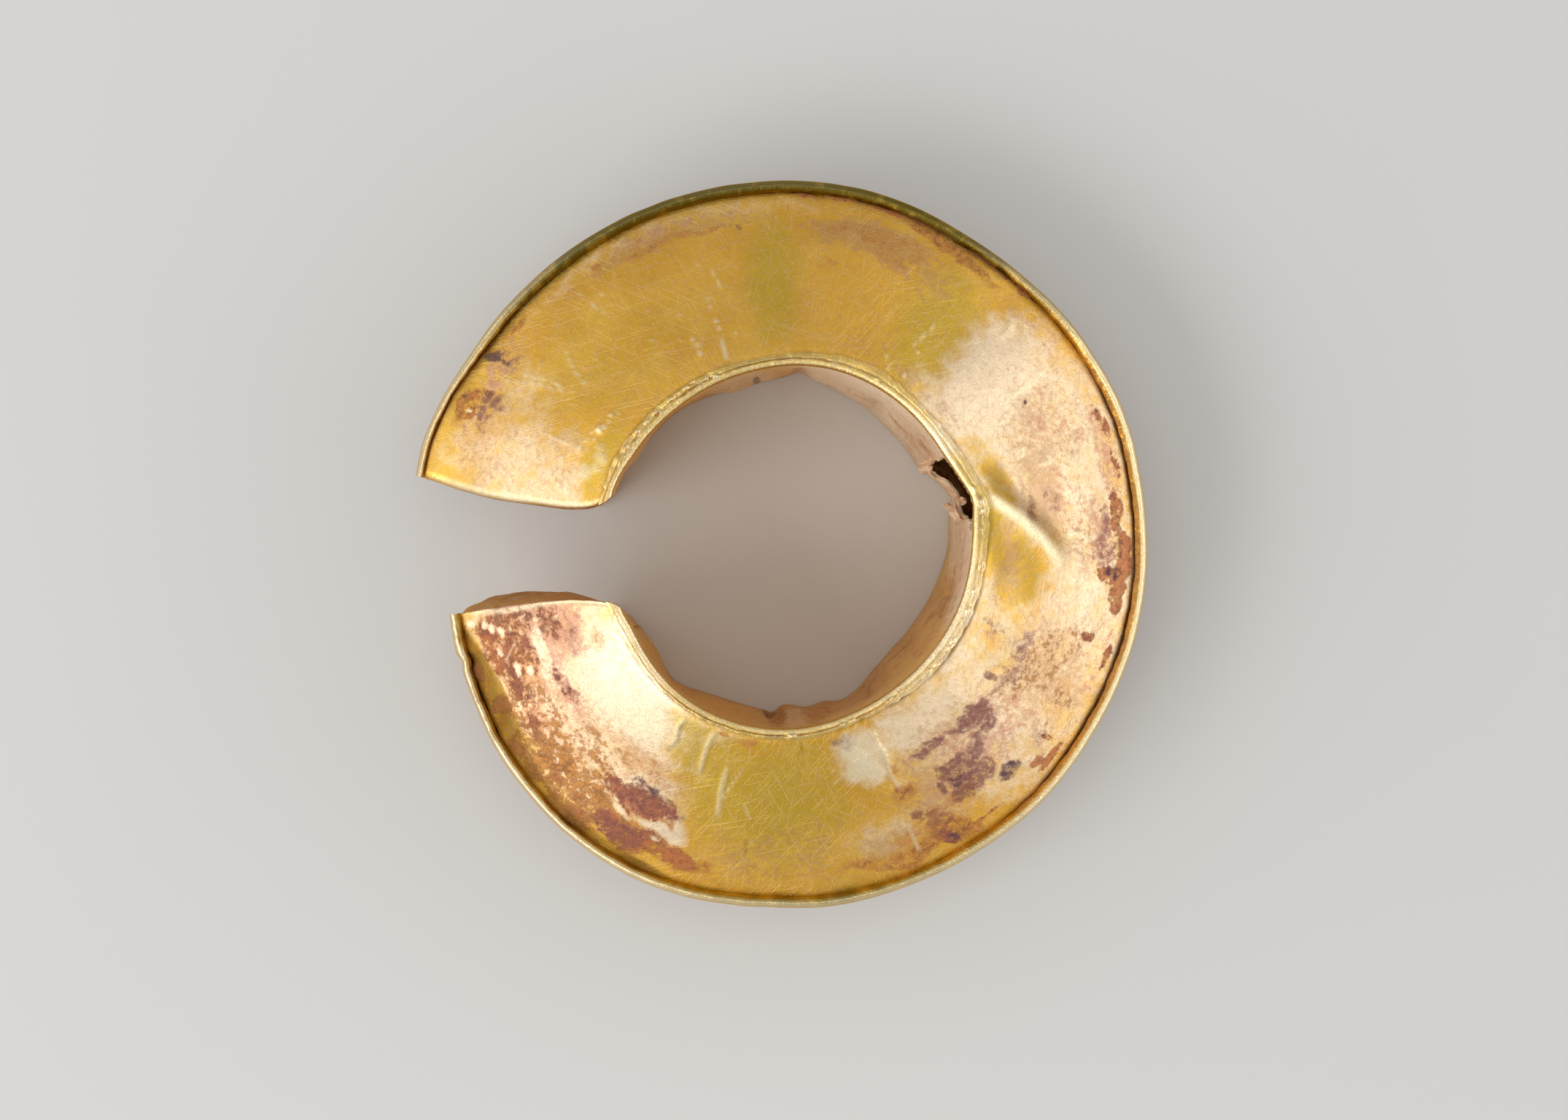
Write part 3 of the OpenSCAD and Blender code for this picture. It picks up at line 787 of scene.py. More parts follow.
# %% [markdown]
# ## Shreds in the tear
# Narrow strips of foil still hang across the tear. Each is a small grid bent along a path of a few
# points, narrower at one end, and given the thickness of the foil. Each begins inside the torn edge
# that it hangs from, apart from the knot, which lies on the longest one.

# %% Shreds of foil
# name, points as (angle, real radius, height), width at the start and the end, lean
SHREDS = [
    ("shred_long", [(28.6, 6.55, 6.4), (26.2, 6.46, 6.2), (23.5, 6.58, 6.4), (21, 6.8, 6.6),
      (17.5, 6.98, 6.7), (14.5, 7.1, 6.8), (11.5, 7.06, 6.7), (9, 7.08, 6.8), (7.4, 7.1, 6.9)], 0.4, 0.5,
      1),
    ("shred_scrap", [(30.5, 6.6, 6.4), (29, 6.5, 6.4), (27.8, 6.42, 6.3), (26.4, 6.44, 6.2)], 1, 0.7, 1.5),
    ("shred_tag", [(7.6, 7, 6.9), (9.6, 6.9, 6.8), (11.4, 6.8, 6.8), (12.8, 6.64, 6.9), (13.6, 6.6, 7.1)],
      0.6, 0.4, 1.2),
    ("shred_knot", [(14.6, 7.1, 7), (13.9, 7.24, 7.2), (13.1, 7.36, 7.2), (12.5, 7.26, 7)], 0.35, 0.3, 1.2),
]
# Thickness of the foil
FOIL_T = 0.09


def along_path(points, share):
    """Places along a smooth path through points"""
    rows = [(n / (len(points) - 1), *point) for n, point in enumerate(points)]
    return [smooth(rows, share, column) for column in (1, 2, 3)]


def shred(name, points, wide, narrow, lean):
    """A strip of foil along a path. lean is how much it leans over"""
    grid, share, up = flat_grid(across=40, up=6)
    side = up - 0.5
    angle, r, z = along_path(points, share)
    width = mix(wide, narrow, share) * (1 + 0.25 * waves(share * 8, side * 0, 1.0, len(points)))
    r = r + lean * side * width * 0.4 + 0.06 * waves(share * 9, side * 3, 1.0, 40 + len(points))
    move_points(grid, *polar(angle, r), z + side * width)
    return finish_sheet(grid, name, lambda place: (-place.x, -place.y, 0), FOIL_T)


shreds = [shred(*row) for row in SHREDS]

# %% [markdown]
# ## The binding strip
# A narrow strip is folded round the outer edges of both plates and holds them together. In section
# it is a C. Its crest is bright, partly burnished and partly a painted highlight, its front edge was
# cut by hand and wavers, and at the upper left and the right it stands off the plate and leaves a
# dark slit.

# %% Shape the binding
# angle, how far the strip's front edge stands off the plate: 1 leaves a dark slit
STAND_OFF = [
    (-170, 0.4), (-120, 0.1), (-60, 0.1), (-46, 0.3), (-30, 0.8), (20, 0.9), (30, 0.2), (60, 0.3),
    (90, 0.1), (124, 0.1), (138, 0.7), (150, 1), (170, 1),
]
# Width of the strip's back, its thickness, and how far its front edge dips where it lies on the
# plate and where it stands off
BACK_WIDTH = 0.5
STRIP_T = 0.8 * sheet_t
LYING_DIP = 0.26
STANDING_DIP = 0.07
# How far the width of the front, the strip's height and its radius waver
FRONT_WAVER = 0.025
HEIGHT_WAVER = 0.02
RADIUS_WAVER = 0.014


def binding_section(share, station):
    """Radius and height along the strip, from its front edge round the rim to its back edge"""
    front = smooth(RIM, station, 3) + FRONT_WAVER * waves(station, station * 0, 1.3, 51)
    half = rim_half + HEIGHT_WAVER * waves(station, station * 0, 2.1, 52)
    lowered = mix(LYING_DIP, STANDING_DIP, smooth(STAND_OFF, station, 1))
    inside = [front, front * 0.82, front * 0.6, front * 0.4, 0.06, 0.01, 0.0]
    inside += [0.01, 0.06, BACK_WIDTH * 0.4, BACK_WIDTH * 0.6, BACK_WIDTH * 0.82, BACK_WIDTH]
    height = [half - lowered, half - 0.3 * lowered, half - 0.02, half, half - 0.17, half * 0.55, 0.0]
    height = height + [-up for up in height[-2::-1]]
    height[-1] = 0.17 - half
    place = share * (len(inside) - 1)
    i = np.clip(place.astype(int), 0, len(inside) - 2)
    k = place - i

    def through(values):
        """A smooth curve through values at even steps along the strip"""
        values = np.array([station * 0 + value for value in values])
        steps = [np.clip(i + step, 0, len(values) - 1) for step in (-1, 0, 1, 2)]
        return cubic(*(values[step, np.arange(len(station))] for step in steps), k)

    return binding_r(station) - through(inside), ring_mid + through(height)


RIM_ACROSS = 30
RIM_AROUND = 560
# angle, radius as seen, half width, height of lumps on the strip
RIM_LUMPS = [
    (-163.6, 13.75, 0.22, 0.07), (-165.6, 13.75, 0.2, 0.06), (-167.6, 13.7, 0.18, 0.06),
    (-118, 14.7, 0.12, 0.1), (-147, 14.1, 0.25, 0.03), (-131, 14.4, 0.25, 0.03), (165, 15, 0.3, 0.02),
    (-85.5, 14.1, 0.1, 0.06), (-91, 14.1, 0.1, 0.06),
]
band, share, station = flat_band(RIM_ACROSS, RIM_AROUND)
r, z = binding_section(share, station)
r += RADIUS_WAVER * waves(station, share * 4, 3.2, 53)
x, y, z = on_arm(station, r, z)
angle, seen_r = as_seen(x, y, z)
z += np.where(z > ring_mid, spot_relief(RIM_LUMPS, angle, seen_r), 0)
move_points(band, x, y, z)
binding = finish_sheet(band, "binding_dressed", lambda place: (place.x, place.y, 0), STRIP_T)

# %% [markdown]
# ## The end plates
# A small triangular plate closes each arm. The upper one sits just inside the rolled edges. The
# lower one is crumpled and bulges out, which is why a brown band shows beside the arm's end. Both
# start as a grid of faces, stretched between the tube and the rim and between the two cones.

# %% Shape the two end plates
END_GAP = sheet_t + 2 * gap
# The end plates stop this far inside the face plates' outer edge
END_SHORT = 0.06
# The cones rise about this steeply in degrees, which makes a sheet thicker in height
CONE_SLANT = 38
FACE_ROOM = sheet_t / math.cos(math.radians(CONE_SLANT)) + 2 * gap


def end_plate(name, side, bulge, crumple):
    """The plate that closes an arm. side is 1 for the upper arm and -1 for the lower one"""
    grid, u, v = flat_grid(across=60, up=44)
    station = np.full(len(u), float(side * end_a))
    start = mix(back_r(station), front_r(station), v) + sheet_t + gap
    edge = plate_r(station) - END_SHORT
    bend = lip_r(station) + PAST_LIP
    r = mix(start, edge, u)
    fall = ramp(r, bend, plate_r(station) - bend)
    top = mix(plate_top, ring_mid + edge_half, fall) - FACE_ROOM
    z = mix(ring_h - top, top, v)
    swell = (np.sin(math.pi * u ** 1.4) * np.sin(math.pi * v)) ** 0.5
    reach = bulge + END_GAP if bulge else 0
    out = swell * (reach + crumple * (waves(r, z, 1.1, 61) + 0.5 * waves(r, z, 0.5, 62)))
    inset = np.degrees((END_GAP - out) / r)
    x, y = polar(side * (end_angle(lined_up(r, z), station > 0) - inset), r)
    move_points(grid, x, y, z)
    # Each plate faces across the gap, down on the upper arm and up on the lower one
    return finish_sheet(grid, name, lambda place: (0, -side, 0), sheet_t)


upper_end = end_plate("upper_end_dressed", 1, 0, 0.03)
lower_end = end_plate("lower_end_dressed", -1, 0.50, 0.10)

# %% [markdown]
# ## Where the gold is stained, and where light is painted
# Earth, iron and silver have left films on the gold: orange-brown crusts, red and violet hazes, a
# few blue-black spots and a pale cream film. The same charts paint light and shade too: greenish
# olive zones are painted shade, and cream zones are partly painted highlight. A painted picture
# could carry them, but these are only soft blots at measured places. Each blot is stored as a value
# on the points of the mesh. The material later tears its edge with noise, which gives the ragged
# borders of a real crust.

# %% Charts of stains and painted light
# angle, radius as seen, half length along the ring, half width, strength
STAIN_AND_LIGHT_CHARTS = {
    "earth": [
        (156, 13.95, 0.8, 0.45, 1), (153, 13.5, 0.4, 0.5, 0.7), (141, 13.9, 0.7, 0.2, 0.7),
        (112, 13.02, 2.4, 0.18, 0.46), (107, 13.05, 1.4, 0.18, 0.56), (124, 13.5, 0.3, 0.2, 0.8),
        (115.5, 13.65, 0.2, 0.3, 0.6), (60, 13.6, 1.6, 0.22, 0.85), (52, 13.5, 0.8, 0.22, 0.55),
        (66, 13.75, 1, 0.2, 0.9), (75, 12.9, 2.3, 0.3, 0.5), (67.5, 12.4, 1, 0.32, 0.5),
        (82, 11.4, 0.8, 0.4, 0.4), (-58.2, 13.45, 0.6, 0.3, 0.85), (-61, 13.1, 0.7, 0.45, 0.9),
        (-62.6, 12.5, 0.45, 0.45, 0.7), (-57, 13.75, 0.8, 0.16, 0.75), (-65.8, 13.5, 0.8, 0.3, 0.95),
        (-75.5, 13.15, 0.9, 0.3, 0.8), (-64.2, 12.9, 0.5, 0.35, 0.62), (-67.5, 12.9, 0.5, 0.22, 0.62),
        (-71, 13.5, 1.2, 0.26, 0.78), (-66.3, 9.6, 0.18, 1.3, 0.62), (-68, 13.6, 1.3, 0.25, 0.9),
        (-64, 11.1, 0.5, 0.3, 0.8), (-56, 12.4, 1, 0.4, 0.55), (-80, 13.3, 0.6, 0.25, 0.5),
        (-101, 8.1, 0.5, 0.14, 0.7), (-108, 8.05, 0.35, 0.12, 0.6), (-94.5, 12.3, 0.1, 0.1, 0.8),
        (-24, 11.6, 1.6, 0.8, 0.41), (-139, 11.7, 2.6, 0.55, 0.5), (-148, 11.7, 1.8, 0.5, 0.5),
        (-131, 11.2, 1.4, 0.35, 0.44), (-124, 10.6, 1.5, 0.5, 0.42), (-30, 12.6, 1, 0.5, 0.44),
        (-28, 11, 1.5, 0.4, 0.43), (-19, 12.3, 0.8, 0.5, 0.44), (-114, 13.5, 1.6, 0.45, 0.9),
        (-120, 13.1, 1.4, 0.55, 0.9), (-120, 11.9, 1.5, 0.45, 0.8), (-128, 13, 2.2, 1, 0.86),
        (-136, 13, 2, 0.8, 0.8), (-133, 12, 2, 0.45, 0.66), (-143, 12.8, 1.6, 0.4, 0.68),
        (-152, 12.4, 1.6, 0.4, 0.66), (-153, 8.5, 0.5, 0.3, 0.35), (-163.5, 12, 0.7, 0.9, 0.6),
        (-112.5, 12, 0.3, 0.5, 0.6), (-109, 13.5, 1.2, 0.36, 0.85),
    ],
    "red": [
        (21, 13.7, 0.9, 0.2, 0.62), (13, 13.75, 0.6, 0.15, 0.6), (6, 13.55, 0.9, 0.35, 0.72),
        (-3, 13.65, 1.1, 0.35, 1), (-9, 13.6, 0.8, 0.35, 0.9), (-6, 13.15, 0.4, 0.4, 0.85),
        (-19.5, 13.8, 0.5, 0.15, 0.7), (-16.5, 12.85, 0.3, 0.25, 0.7), (-39, 13.75, 0.7, 0.15, 0.9),
        (-41, 13.4, 0.45, 0.15, 0.8), (-53, 13.65, 0.6, 0.08, 0.8), (-36.5, 13.2, 0.15, 0.25, 0.7),
        (-59.5, 13.4, 0.4, 0.4, 0.8), (-65, 11.1, 0.5, 0.2, 0.6), (-158, 11.6, 1.4, 0.6, 0.6),
        (-162, 10.2, 0.9, 1, 0.5), (-160, 12.3, 1.2, 0.5, 0.64), (-149, 12.2, 1.6, 0.35, 0.6),
        (-109, 13.5, 0.9, 0.3, 0.75), (-155, 11, 1, 0.5, 0.6), (46.5, 14, 0.5, 0.12, 0.8),
        (68, 14.03, 1.9, 0.13, 1), (83, 14.08, 1.8, 0.08, 0.8), (53, 13.98, 1.6, 0.08, 0.85),
        (-116, 13.4, 1, 0.4, 0.8), (-121, 13.3, 0.9, 0.5, 0.85), (-119, 11.9, 1.6, 0.42, 1),
        (-130, 13.4, 1.6, 0.35, 0.6), (-143.5, 13.4, 0.4, 0.2, 1), (-151, 13.2, 0.5, 0.35, 1),
        (-157, 13.4, 0.4, 0.25, 0.9), (-147, 10.6, 1, 0.25, 0.42), (154, 13.9, 0.4, 0.25, 0.8),
        (157, 13.6, 0.4, 0.2, 0.7),
    ],
    "violet": [
        (154.5, 13.1, 0.55, 0.4, 0.9), (156, 12.9, 0.8, 0.35, 0.6), (167.5, 13, 0.6, 0.5, 0.3),
        (0, 12.9, 0.9, 0.45, 0.62), (6, 12.9, 0.5, 0.3, 0.6), (2, 12, 0.4, 0.5, 0.5),
        (1, 11.5, 0.3, 0.3, 0.5), (-16.5, 12.8, 0.3, 0.25, 0.6), (-42, 10.8, 0.85, 0.45, 1),
        (-44, 10.1, 0.8, 0.35, 0.9), (-47, 11.4, 0.6, 0.35, 0.7), (-51.5, 12.1, 1.1, 0.65, 1.1),
        (-54, 11.4, 0.6, 0.4, 1), (-54, 10.1, 0.9, 0.25, 0.9), (-58.4, 11.6, 0.14, 0.25, 1.2),
        (-33, 9.9, 0.2, 0.2, 1.1), (-59.5, 13.6, 0.35, 0.25, 0.9), (-61, 12.9, 0.5, 0.5, 0.6),
        (-63, 12.3, 0.3, 0.25, 0.8), (-71.5, 8.2, 0.5, 0.3, 0.5), (-118, 11.8, 1.6, 0.42, 1),
        (-121, 11.5, 0.6, 0.3, 1.2), (-120, 13.4, 1.1, 0.45, 1.15), (-115, 13.2, 0.6, 0.3, 0.7),
        (-160, 10.9, 1.5, 1.2, 0.44), (-159, 9.5, 1.2, 0.5, 0.42), (-165, 11.9, 0.5, 0.7, 0.7),
        (146, 13.6, 0.6, 0.5, 0.4), (-38, 12.9, 0.5, 0.3, 0.5), (-150, 12.1, 1.6, 0.5, 0.6),
        (-143, 12.7, 1, 0.3, 0.5), (-146.5, 10.5, 1.1, 0.3, 0.5), (10, 10.9, 0.8, 0.3, 0.35),
        (8, 10.05, 0.5, 0.16, 0.9), (-45, 12.85, 0.55, 0.22, 0.9), (-28, 10.35, 1.3, 0.4, 0.7),
        (-23, 9.1, 0.3, 0.4, 0.45),
    ],
    "soot": [
        (148, 13.85, 0.28, 0.42, 0.9), (155, 14.2, 0.14, 0.12, 0.9), (-45, 12.85, 0.45, 0.22, 0.62),
        (-59, 13.6, 0.22, 0.18, 0.7), (-118, 11.3, 0.3, 0.18, 0.7), (-122, 11.15, 0.25, 0.16, 0.7),
        (98.5, 12.95, 0.12, 0.12, 0.7), (30.2, 11.2, 0.06, 0.06, 0.9), (-1, 13.5, 0.4, 0.25, 0.62),
        (-5, 13.35, 0.3, 0.3, 0.6), (-55, 11.8, 0.4, 0.25, 0.5),
    ],
    # Cream is partly a real pale film and partly painted highlight where the lights reflect
    "cream": [
        (38, 10.4, 2.4, 3, 1.15), (22, 11.6, 2, 2.2, 0.85), (6, 12.4, 2.4, 1.6, 0.8),
        (-20, 11.8, 3, 2, 0.75), (-34, 9, 2.2, 1.2, 0.8), (-40, 12.6, 3, 1.5, 0.65),
        (-69.5, 9.2, 0.9, 1.2, 0.95), (-50, 9.4, 1.6, 1.3, 0.6), (-134, 8.9, 4.2, 2.1, 1.25),
        (-150, 9.6, 3.2, 2, 0.75), (-144, 11.2, 3, 1.4, 0.7), (164, 11, 2.2, 3, 0.62),
        (152, 12.2, 2, 1.4, 0.4), (118, 13.7, 4.6, 0.35, 0.36), (-73.6, 9.3, 0.9, 0.9, 1),
        (-115, 11.2, 1.2, 0.7, 0.8), (46.5, 8.7, 1.2, 0.7, 0.9), (96, 13.6, 3, 0.4, 0.25),
        (-114, 11.9, 1.1, 1, 0.6), (-70, 12.4, 1.8, 0.7, 0.5), (168, 9, 1.2, 1.4, 0.65),
        (-126, 8.8, 1.3, 1.3, 1), (-60, 12.4, 1.4, 0.8, 0.5), (22, 11.2, 5, 3.6, 0.8),
        (-10, 12.6, 5, 2, 0.8), (-34, 10.4, 5, 3.6, 0.8), (-52, 9, 2.4, 1.2, 0.95), (-70, 9.2, 1, 1.2, 1.3),
        (-113, 12.4, 1, 0.8, 1.2), (-122, 11.6, 2.5, 1.4, 0.9), (-150, 11.4, 6, 2.2, 1),
        (-132, 12.2, 4, 1.6, 0.8),
    ],
    # Olive is painted shade: sheet that tilts away from the lights and mirrors the dim room
    "olive": [
        (92.5, 10.6, 1.1, 2.6, 0.9), (134, 10.2, 3.6, 2.3, 0.35), (56, 10.5, 1.7, 2.6, 0.95),
        (-11, 9.7, 1.9, 1, 0.62), (-6, 9.6, 1.5, 1, 0.7), (-1, 9.4, 1.1, 0.7, 0.72),
        (3, 8.95, 0.8, 0.4, 0.75), (-5, 8.8, 1.5, 0.35, 0.7), (19, 8.75, 1.1, 0.35, 0.75),
        (158, 8.2, 2.2, 0.5, 0.75), (14.5, 9, 1.5, 0.5, 0.8), (25, 8.6, 1.2, 0.4, 0.55),
        (-25, 9.4, 2, 1, 0.42), (-92, 10.4, 3.4, 2.6, 0.9), (-104, 10.2, 1.6, 2.2, 0.8),
        (118, 14.3, 9, 0.25, 1), (82, 14.3, 7, 0.22, 1.1), (-86, 14.35, 8, 0.3, 0.8),
        (118, 7.2, 6, 0.3, 0.8), (150, 7.3, 2.5, 0.4, 0.6), (-96, 7.4, 6, 0.35, 0.9),
        (85, 7.2, 4.4, 0.35, 0.9), (-155, 13.2, 3.4, 0.4, 0.7), (-113, 9, 1.3, 1.2, 0.9),
        (-106, 9.2, 1.2, 1.6, 0.9), (-115.5, 8.3, 1.3, 0.6, 1), (4, 8.4, 1.6, 0.45, 1),
    ],
    "pink": [
        (-160, 11.2, 2.2, 1.7, 1.3), (-160, 9.6, 1.6, 0.8, 1.3), (-148, 12.2, 3, 0.7, 0.9),
        (-139, 11.7, 3.2, 0.55, 0.5), (-150, 11.5, 1.6, 0.5, 0.6), (-146, 10.6, 1.5, 0.4, 0.8),
        (18, 13.6, 2.4, 0.35, 0.7), (2, 12.2, 1.2, 0.8, 0.5), (-153, 8.5, 0.6, 0.35, 0.5),
        (1, 12.8, 1.8, 0.8, 0.6), (12, 13.3, 1.6, 0.4, 0.6), (11, 11.5, 1.6, 1, 0.4),
        (25, 11.8, 1.8, 1.2, 0.35), (158, 11.8, 2, 2, 0.2), (150, 13.2, 1, 0.6, 0.5),
        (40, 13.3, 2.5, 0.5, 0.35), (120, 13.6, 5, 0.3, 0.4), (-133, 12.6, 3, 0.7, 0.8),
        (-20, 13.6, 2, 0.3, 0.5), (-38, 11.2, 1.5, 1, 0.5), (-50, 11.7, 2.2, 1.1, 0.85),
        (-43, 10.5, 1.4, 0.7, 0.8), (-55, 10.1, 1.5, 0.4, 0.7),
    ],
    "tan": [
        (-26, 11.8, 2.6, 1.9, 0.85), (-123, 10.5, 1.8, 0.7, 0.95), (166, 12.6, 1, 1.2, 0.6),
        (13, 10.7, 2.2, 0.9, 1), (1, 12.6, 1.8, 1, 0.8), (17, 13.5, 2, 0.5, 0.9),
        (-30, 10.4, 1.5, 0.5, 0.8), (-24, 9.2, 0.35, 0.5, 0.8), (8, 11, 1.6, 0.7, 0.7),
        (24, 11.5, 2, 1.6, 0.75), (20, 10.1, 1.6, 0.4, 0.7), (12, 10.2, 0.8, 0.35, 0.9),
        (-6, 9.1, 1.8, 0.6, 0.75), (-50, 10.2, 2.6, 1, 0.7), (-58, 11.8, 1.8, 1.6, 0.85),
        (-70, 12.9, 1.6, 0.9, 0.8), (158, 12.8, 1.8, 1.3, 0.6), (160, 10, 1.8, 1.2, 0.45),
        (146, 13.4, 1.5, 0.6, 0.8), (112, 13.3, 4.5, 0.45, 0.8), (74, 12.8, 2.8, 0.6, 1.2),
        (68, 12.2, 0.9, 0.4, 1), (60, 12, 1.2, 1, 0.6), (66, 8.6, 1.6, 0.6, 0.5), (-120, 11, 2, 0.8, 0.7),
        (-140, 10.8, 2.8, 0.8, 0.75), (-138, 11.9, 2.8, 0.5, 0.9), (-153, 8.6, 0.7, 0.5, 0.9),
        (-130, 10.9, 2, 0.9, 0.5), (-158, 9.6, 1.2, 0.9, 0.7), (-96, 12.6, 2, 1.2, 0.5),
        (-85, 12.3, 1.6, 1.2, 0.5), (40, 8.4, 0.8, 0.4, 0.5), (52, 8.3, 1.2, 0.5, 0.5),
        (-16, 13.3, 1.2, 0.6, 0.6), (-36, 13, 1.4, 0.6, 0.5),
    ],
    "amber": [
        (74, 10.6, 2.3, 2.6, 0.8), (108, 11.6, 2.4, 1.2, 0.5), (72, 8.3, 2.4, 0.6, 0.6),
        (110, 8, 5, 0.4, 0.5), (-95, 14, 6, 0.12, 0.7), (-62, 13, 2.2, 0.9, 0.9), (115, 13.6, 5, 0.35, 0.6),
        (86, 13.4, 3.4, 0.5, 0.5), (-50, 8.9, 3, 0.9, 0.4),
    ],
}
# Stains with a flat middle and a sharp edge, and how flat the middle of a blot is
CRUSTS = ("earth", "red", "violet", "soot")
CRUST_FLAT = 1.6
WALL_FLAT = 1.3
# Clean islands inside the stains
ISLANDS = [
    (-121.5, 12.5, 0.3, 0.12, 1), (-123, 12.25, 0.18, 0.12, 1), (-113.5, 13.1, 0.22, 0.13, 0.9),
    (-114.5, 12.55, 0.7, 0.18, 1), (-131, 11.75, 0.3, 0.08, 1), (-165.5, 13, 0.18, 0.16, 1),
    (-164.8, 12.4, 0.18, 0.12, 1), (-163.9, 12.15, 0.2, 0.13, 1), (-162.8, 11.9, 0.22, 0.1, 1),
    (-158.5, 12.2, 0.16, 0.1, 1), (-154, 11.85, 0.35, 0.12, 1), (-153.2, 11.4, 0.2, 0.12, 1),
    (-141.5, 12.15, 0.16, 0.07, 1), (-139, 12.05, 0.22, 0.09, 1), (157.2, 13.7, 0.1, 0.1, 1),
    (-127.5, 12.8, 0.12, 0.06, 1), (-148.5, 12.5, 0.14, 0.07, 0.8), (-155.5, 10.75, 0.9, 0.28, 1),
    (-149, 10.95, 0.8, 0.12, 0.8), (-136, 12.6, 0.12, 0.06, 0.8), (-133.5, 12.9, 0.1, 0.05, 0.8),
]
# Thin painted highlights on the fold's crest, the rolled ends and raised lines, partly real wear: points as
# (angle, radius seen), half width, strength
HIGHLIGHT_LINES = [
    (FOLD_CREST, 0.36, 1.1),
    ([(-168, 13.4), (-166.4, 11.5), (-165.8, 9.6), (-163, 8), (-159.5, 7.3)], 0.15, 0.9),
    ([(169.4, 14.6), (170.6, 12), (170.2, 8.6), (168.4, 7.7)], 0.28, 0.8),
    ([(-66, 13.6), (-66.6, 12.2)], 0.1, 0.6), ([(-5.5, 11.5), (-8, 12.4)], 0.15, 0.5),
]
# Patches painted as highlights: angle, radius seen, half length, half width, strength
HIGHLIGHT_PATCHES = [(-69.5, 9.2, 0.8, 1, 1.3), (-135, 8.8, 3, 1.2, 0.6)]
# Painted shade and some dirt by the fold, lines and margin: points, half width, strength
SHADE_AND_DIRT_LINES = [
    ([(22, 8.9), (15, 9.1), (9.4, 9.75), (4.4, 10.45), (-3, 11.6)], 0.66, 0.68),
    ([(9, 8.5), (3, 8.5), (-4, 8.8), (-9, 9.1)], 0.6, 0.36), ([(2, 9.4), (-5, 9.9), (-14, 10.2)], 1, 0.34),
    ([(-119.6, 9.6), (-118.9, 8.9), (-119.9, 8.2)], 0.16, 0.6), ([(-97, 12.6), (-97.6, 11.9)], 0.1, 0.5),
    ([(-125, 13.85), (-138, 13.45), (-148, 12.9), (-155, 12.72), (-160, 12.92), (-165, 13.25)], 0.1, 0.75),
    ([(10, 11.4), (9.4, 10.9)], 0.2, 0.5), ([(-85.6, 8.6), (-84.8, 7.9)], 0.08, 0.5),
]
print("stains charted:", {name: len(rows) for name, rows in STAIN_AND_LIGHT_CHARTS.items()})

# %% [markdown]
# A blot fades from its middle outward. A plain oval would look stamped on, so slow noise first pulls
# the large ones out of shape. The values are kept as attributes on the mesh's points, where a
# painted picture would need the sheet unwrapped.

# %% Blots and thin lines as values
# How far a blot thins out past the size in its row. CORE is above 1, so its middle is at full strength
SPREAD = 1.3
CORE = 1.1
# Blots at least this wide are pulled fully out of shape, and soft ones this share as far
FULL_PULL = 0.35
SOFT_PULL = 0.5


def thinning(away, flat):
    """A blot's share of its strength. away is the squared distance, flat widens its middle"""
    return np.clip(CORE - CORE * (away / SPREAD ** 2) ** flat, 0, 1)


def blots(rows, angle, r, flat=1.0):
    """The strongest blot at each place. Large ones are pulled out of their oval shape"""
    x, y = polar(angle, r)
    sway = 0.34 * waves(x, y, 0.9, 101) + 0.17 * waves(x, y, 0.35, 102)
    bob = 0.30 * waves(x, y, 0.9, 103) + 0.15 * waves(x, y, 0.35, 104)
    total = np.zeros(len(r))
    for at, mid, half_length, half_width, strength in rows:
        loose = min(1, half_width / FULL_PULL) * (1 if flat > 1 else SOFT_PULL)
        along = (r * np.radians(angle - at) + loose * sway) / half_length
        across = (r - mid + loose * bob) / half_width
        total = np.maximum(total, strength * thinning(along ** 2 + across ** 2, flat))
    return total


def bright_spots(spots, size, strength, angle, r):
    """A small painted highlight on top of each spot, size times as wide as the spot"""
    rows = [(at, mid, size * half, size * half, strength * rise) for at, mid, half, rise in spots]
    return np.clip(blots(rows, angle, r), 0, 0.9)


def points_of(piece):
    """The places of a piece's points in millimetres, as x, y and z"""
    places = np.empty(len(piece.data.vertices) * 3, np.float32)
    piece.data.vertices.foreach_get("co", places)
    return places.reshape(-1, 3).T.astype(float) / MM


def keep_charts(piece, charts):
    """Stores every chart on the piece's points"""
    for name, values in charts.items():
        stored = piece.data.attributes.new(name, "FLOAT", "POINT")
        stored.data.foreach_set("value", values.astype(np.float32))


def front_stain_and_light_values(angle, seen):
    """Values of stains and painted light at places seen from the front, with clean islands in them"""
    islands = blots(ISLANDS, angle, seen, CRUST_FLAT)
    values = {}
    for name, rows in STAIN_AND_LIGHT_CHARTS.items():
        values[name] = blots(rows, angle, seen, CRUST_FLAT if name in CRUSTS else 1.0)
    for name in ("earth", "red", "violet", "pink"):
        values[name] *= 1 - 0.85 * islands
    cream = values["cream"] * (1 - 0.85 * np.clip(values["olive"], 0, 1))
    values["cream"] = np.maximum(cream, 1.1 * islands)
    return values


def thin_lines(lines, angle, seen):
    """The strongest thin line at each place"""
    return line_marks(lines, angle, seen, 6, np.maximum)


print("clean islands:", len(ISLANDS))

# %% [markdown]
# Shade is painted into the corners: along the lip, under the strip and on the bent-down margin,
# whose steep slope would mirror the dark below. Highlights are painted on what stands up: the fold,
# the wrinkles and the warts, partly as real wear. A node could find corners and edges in the mesh,
# but its answer changes with the mesh's grain, so both come from the lines that shaped the sheet.

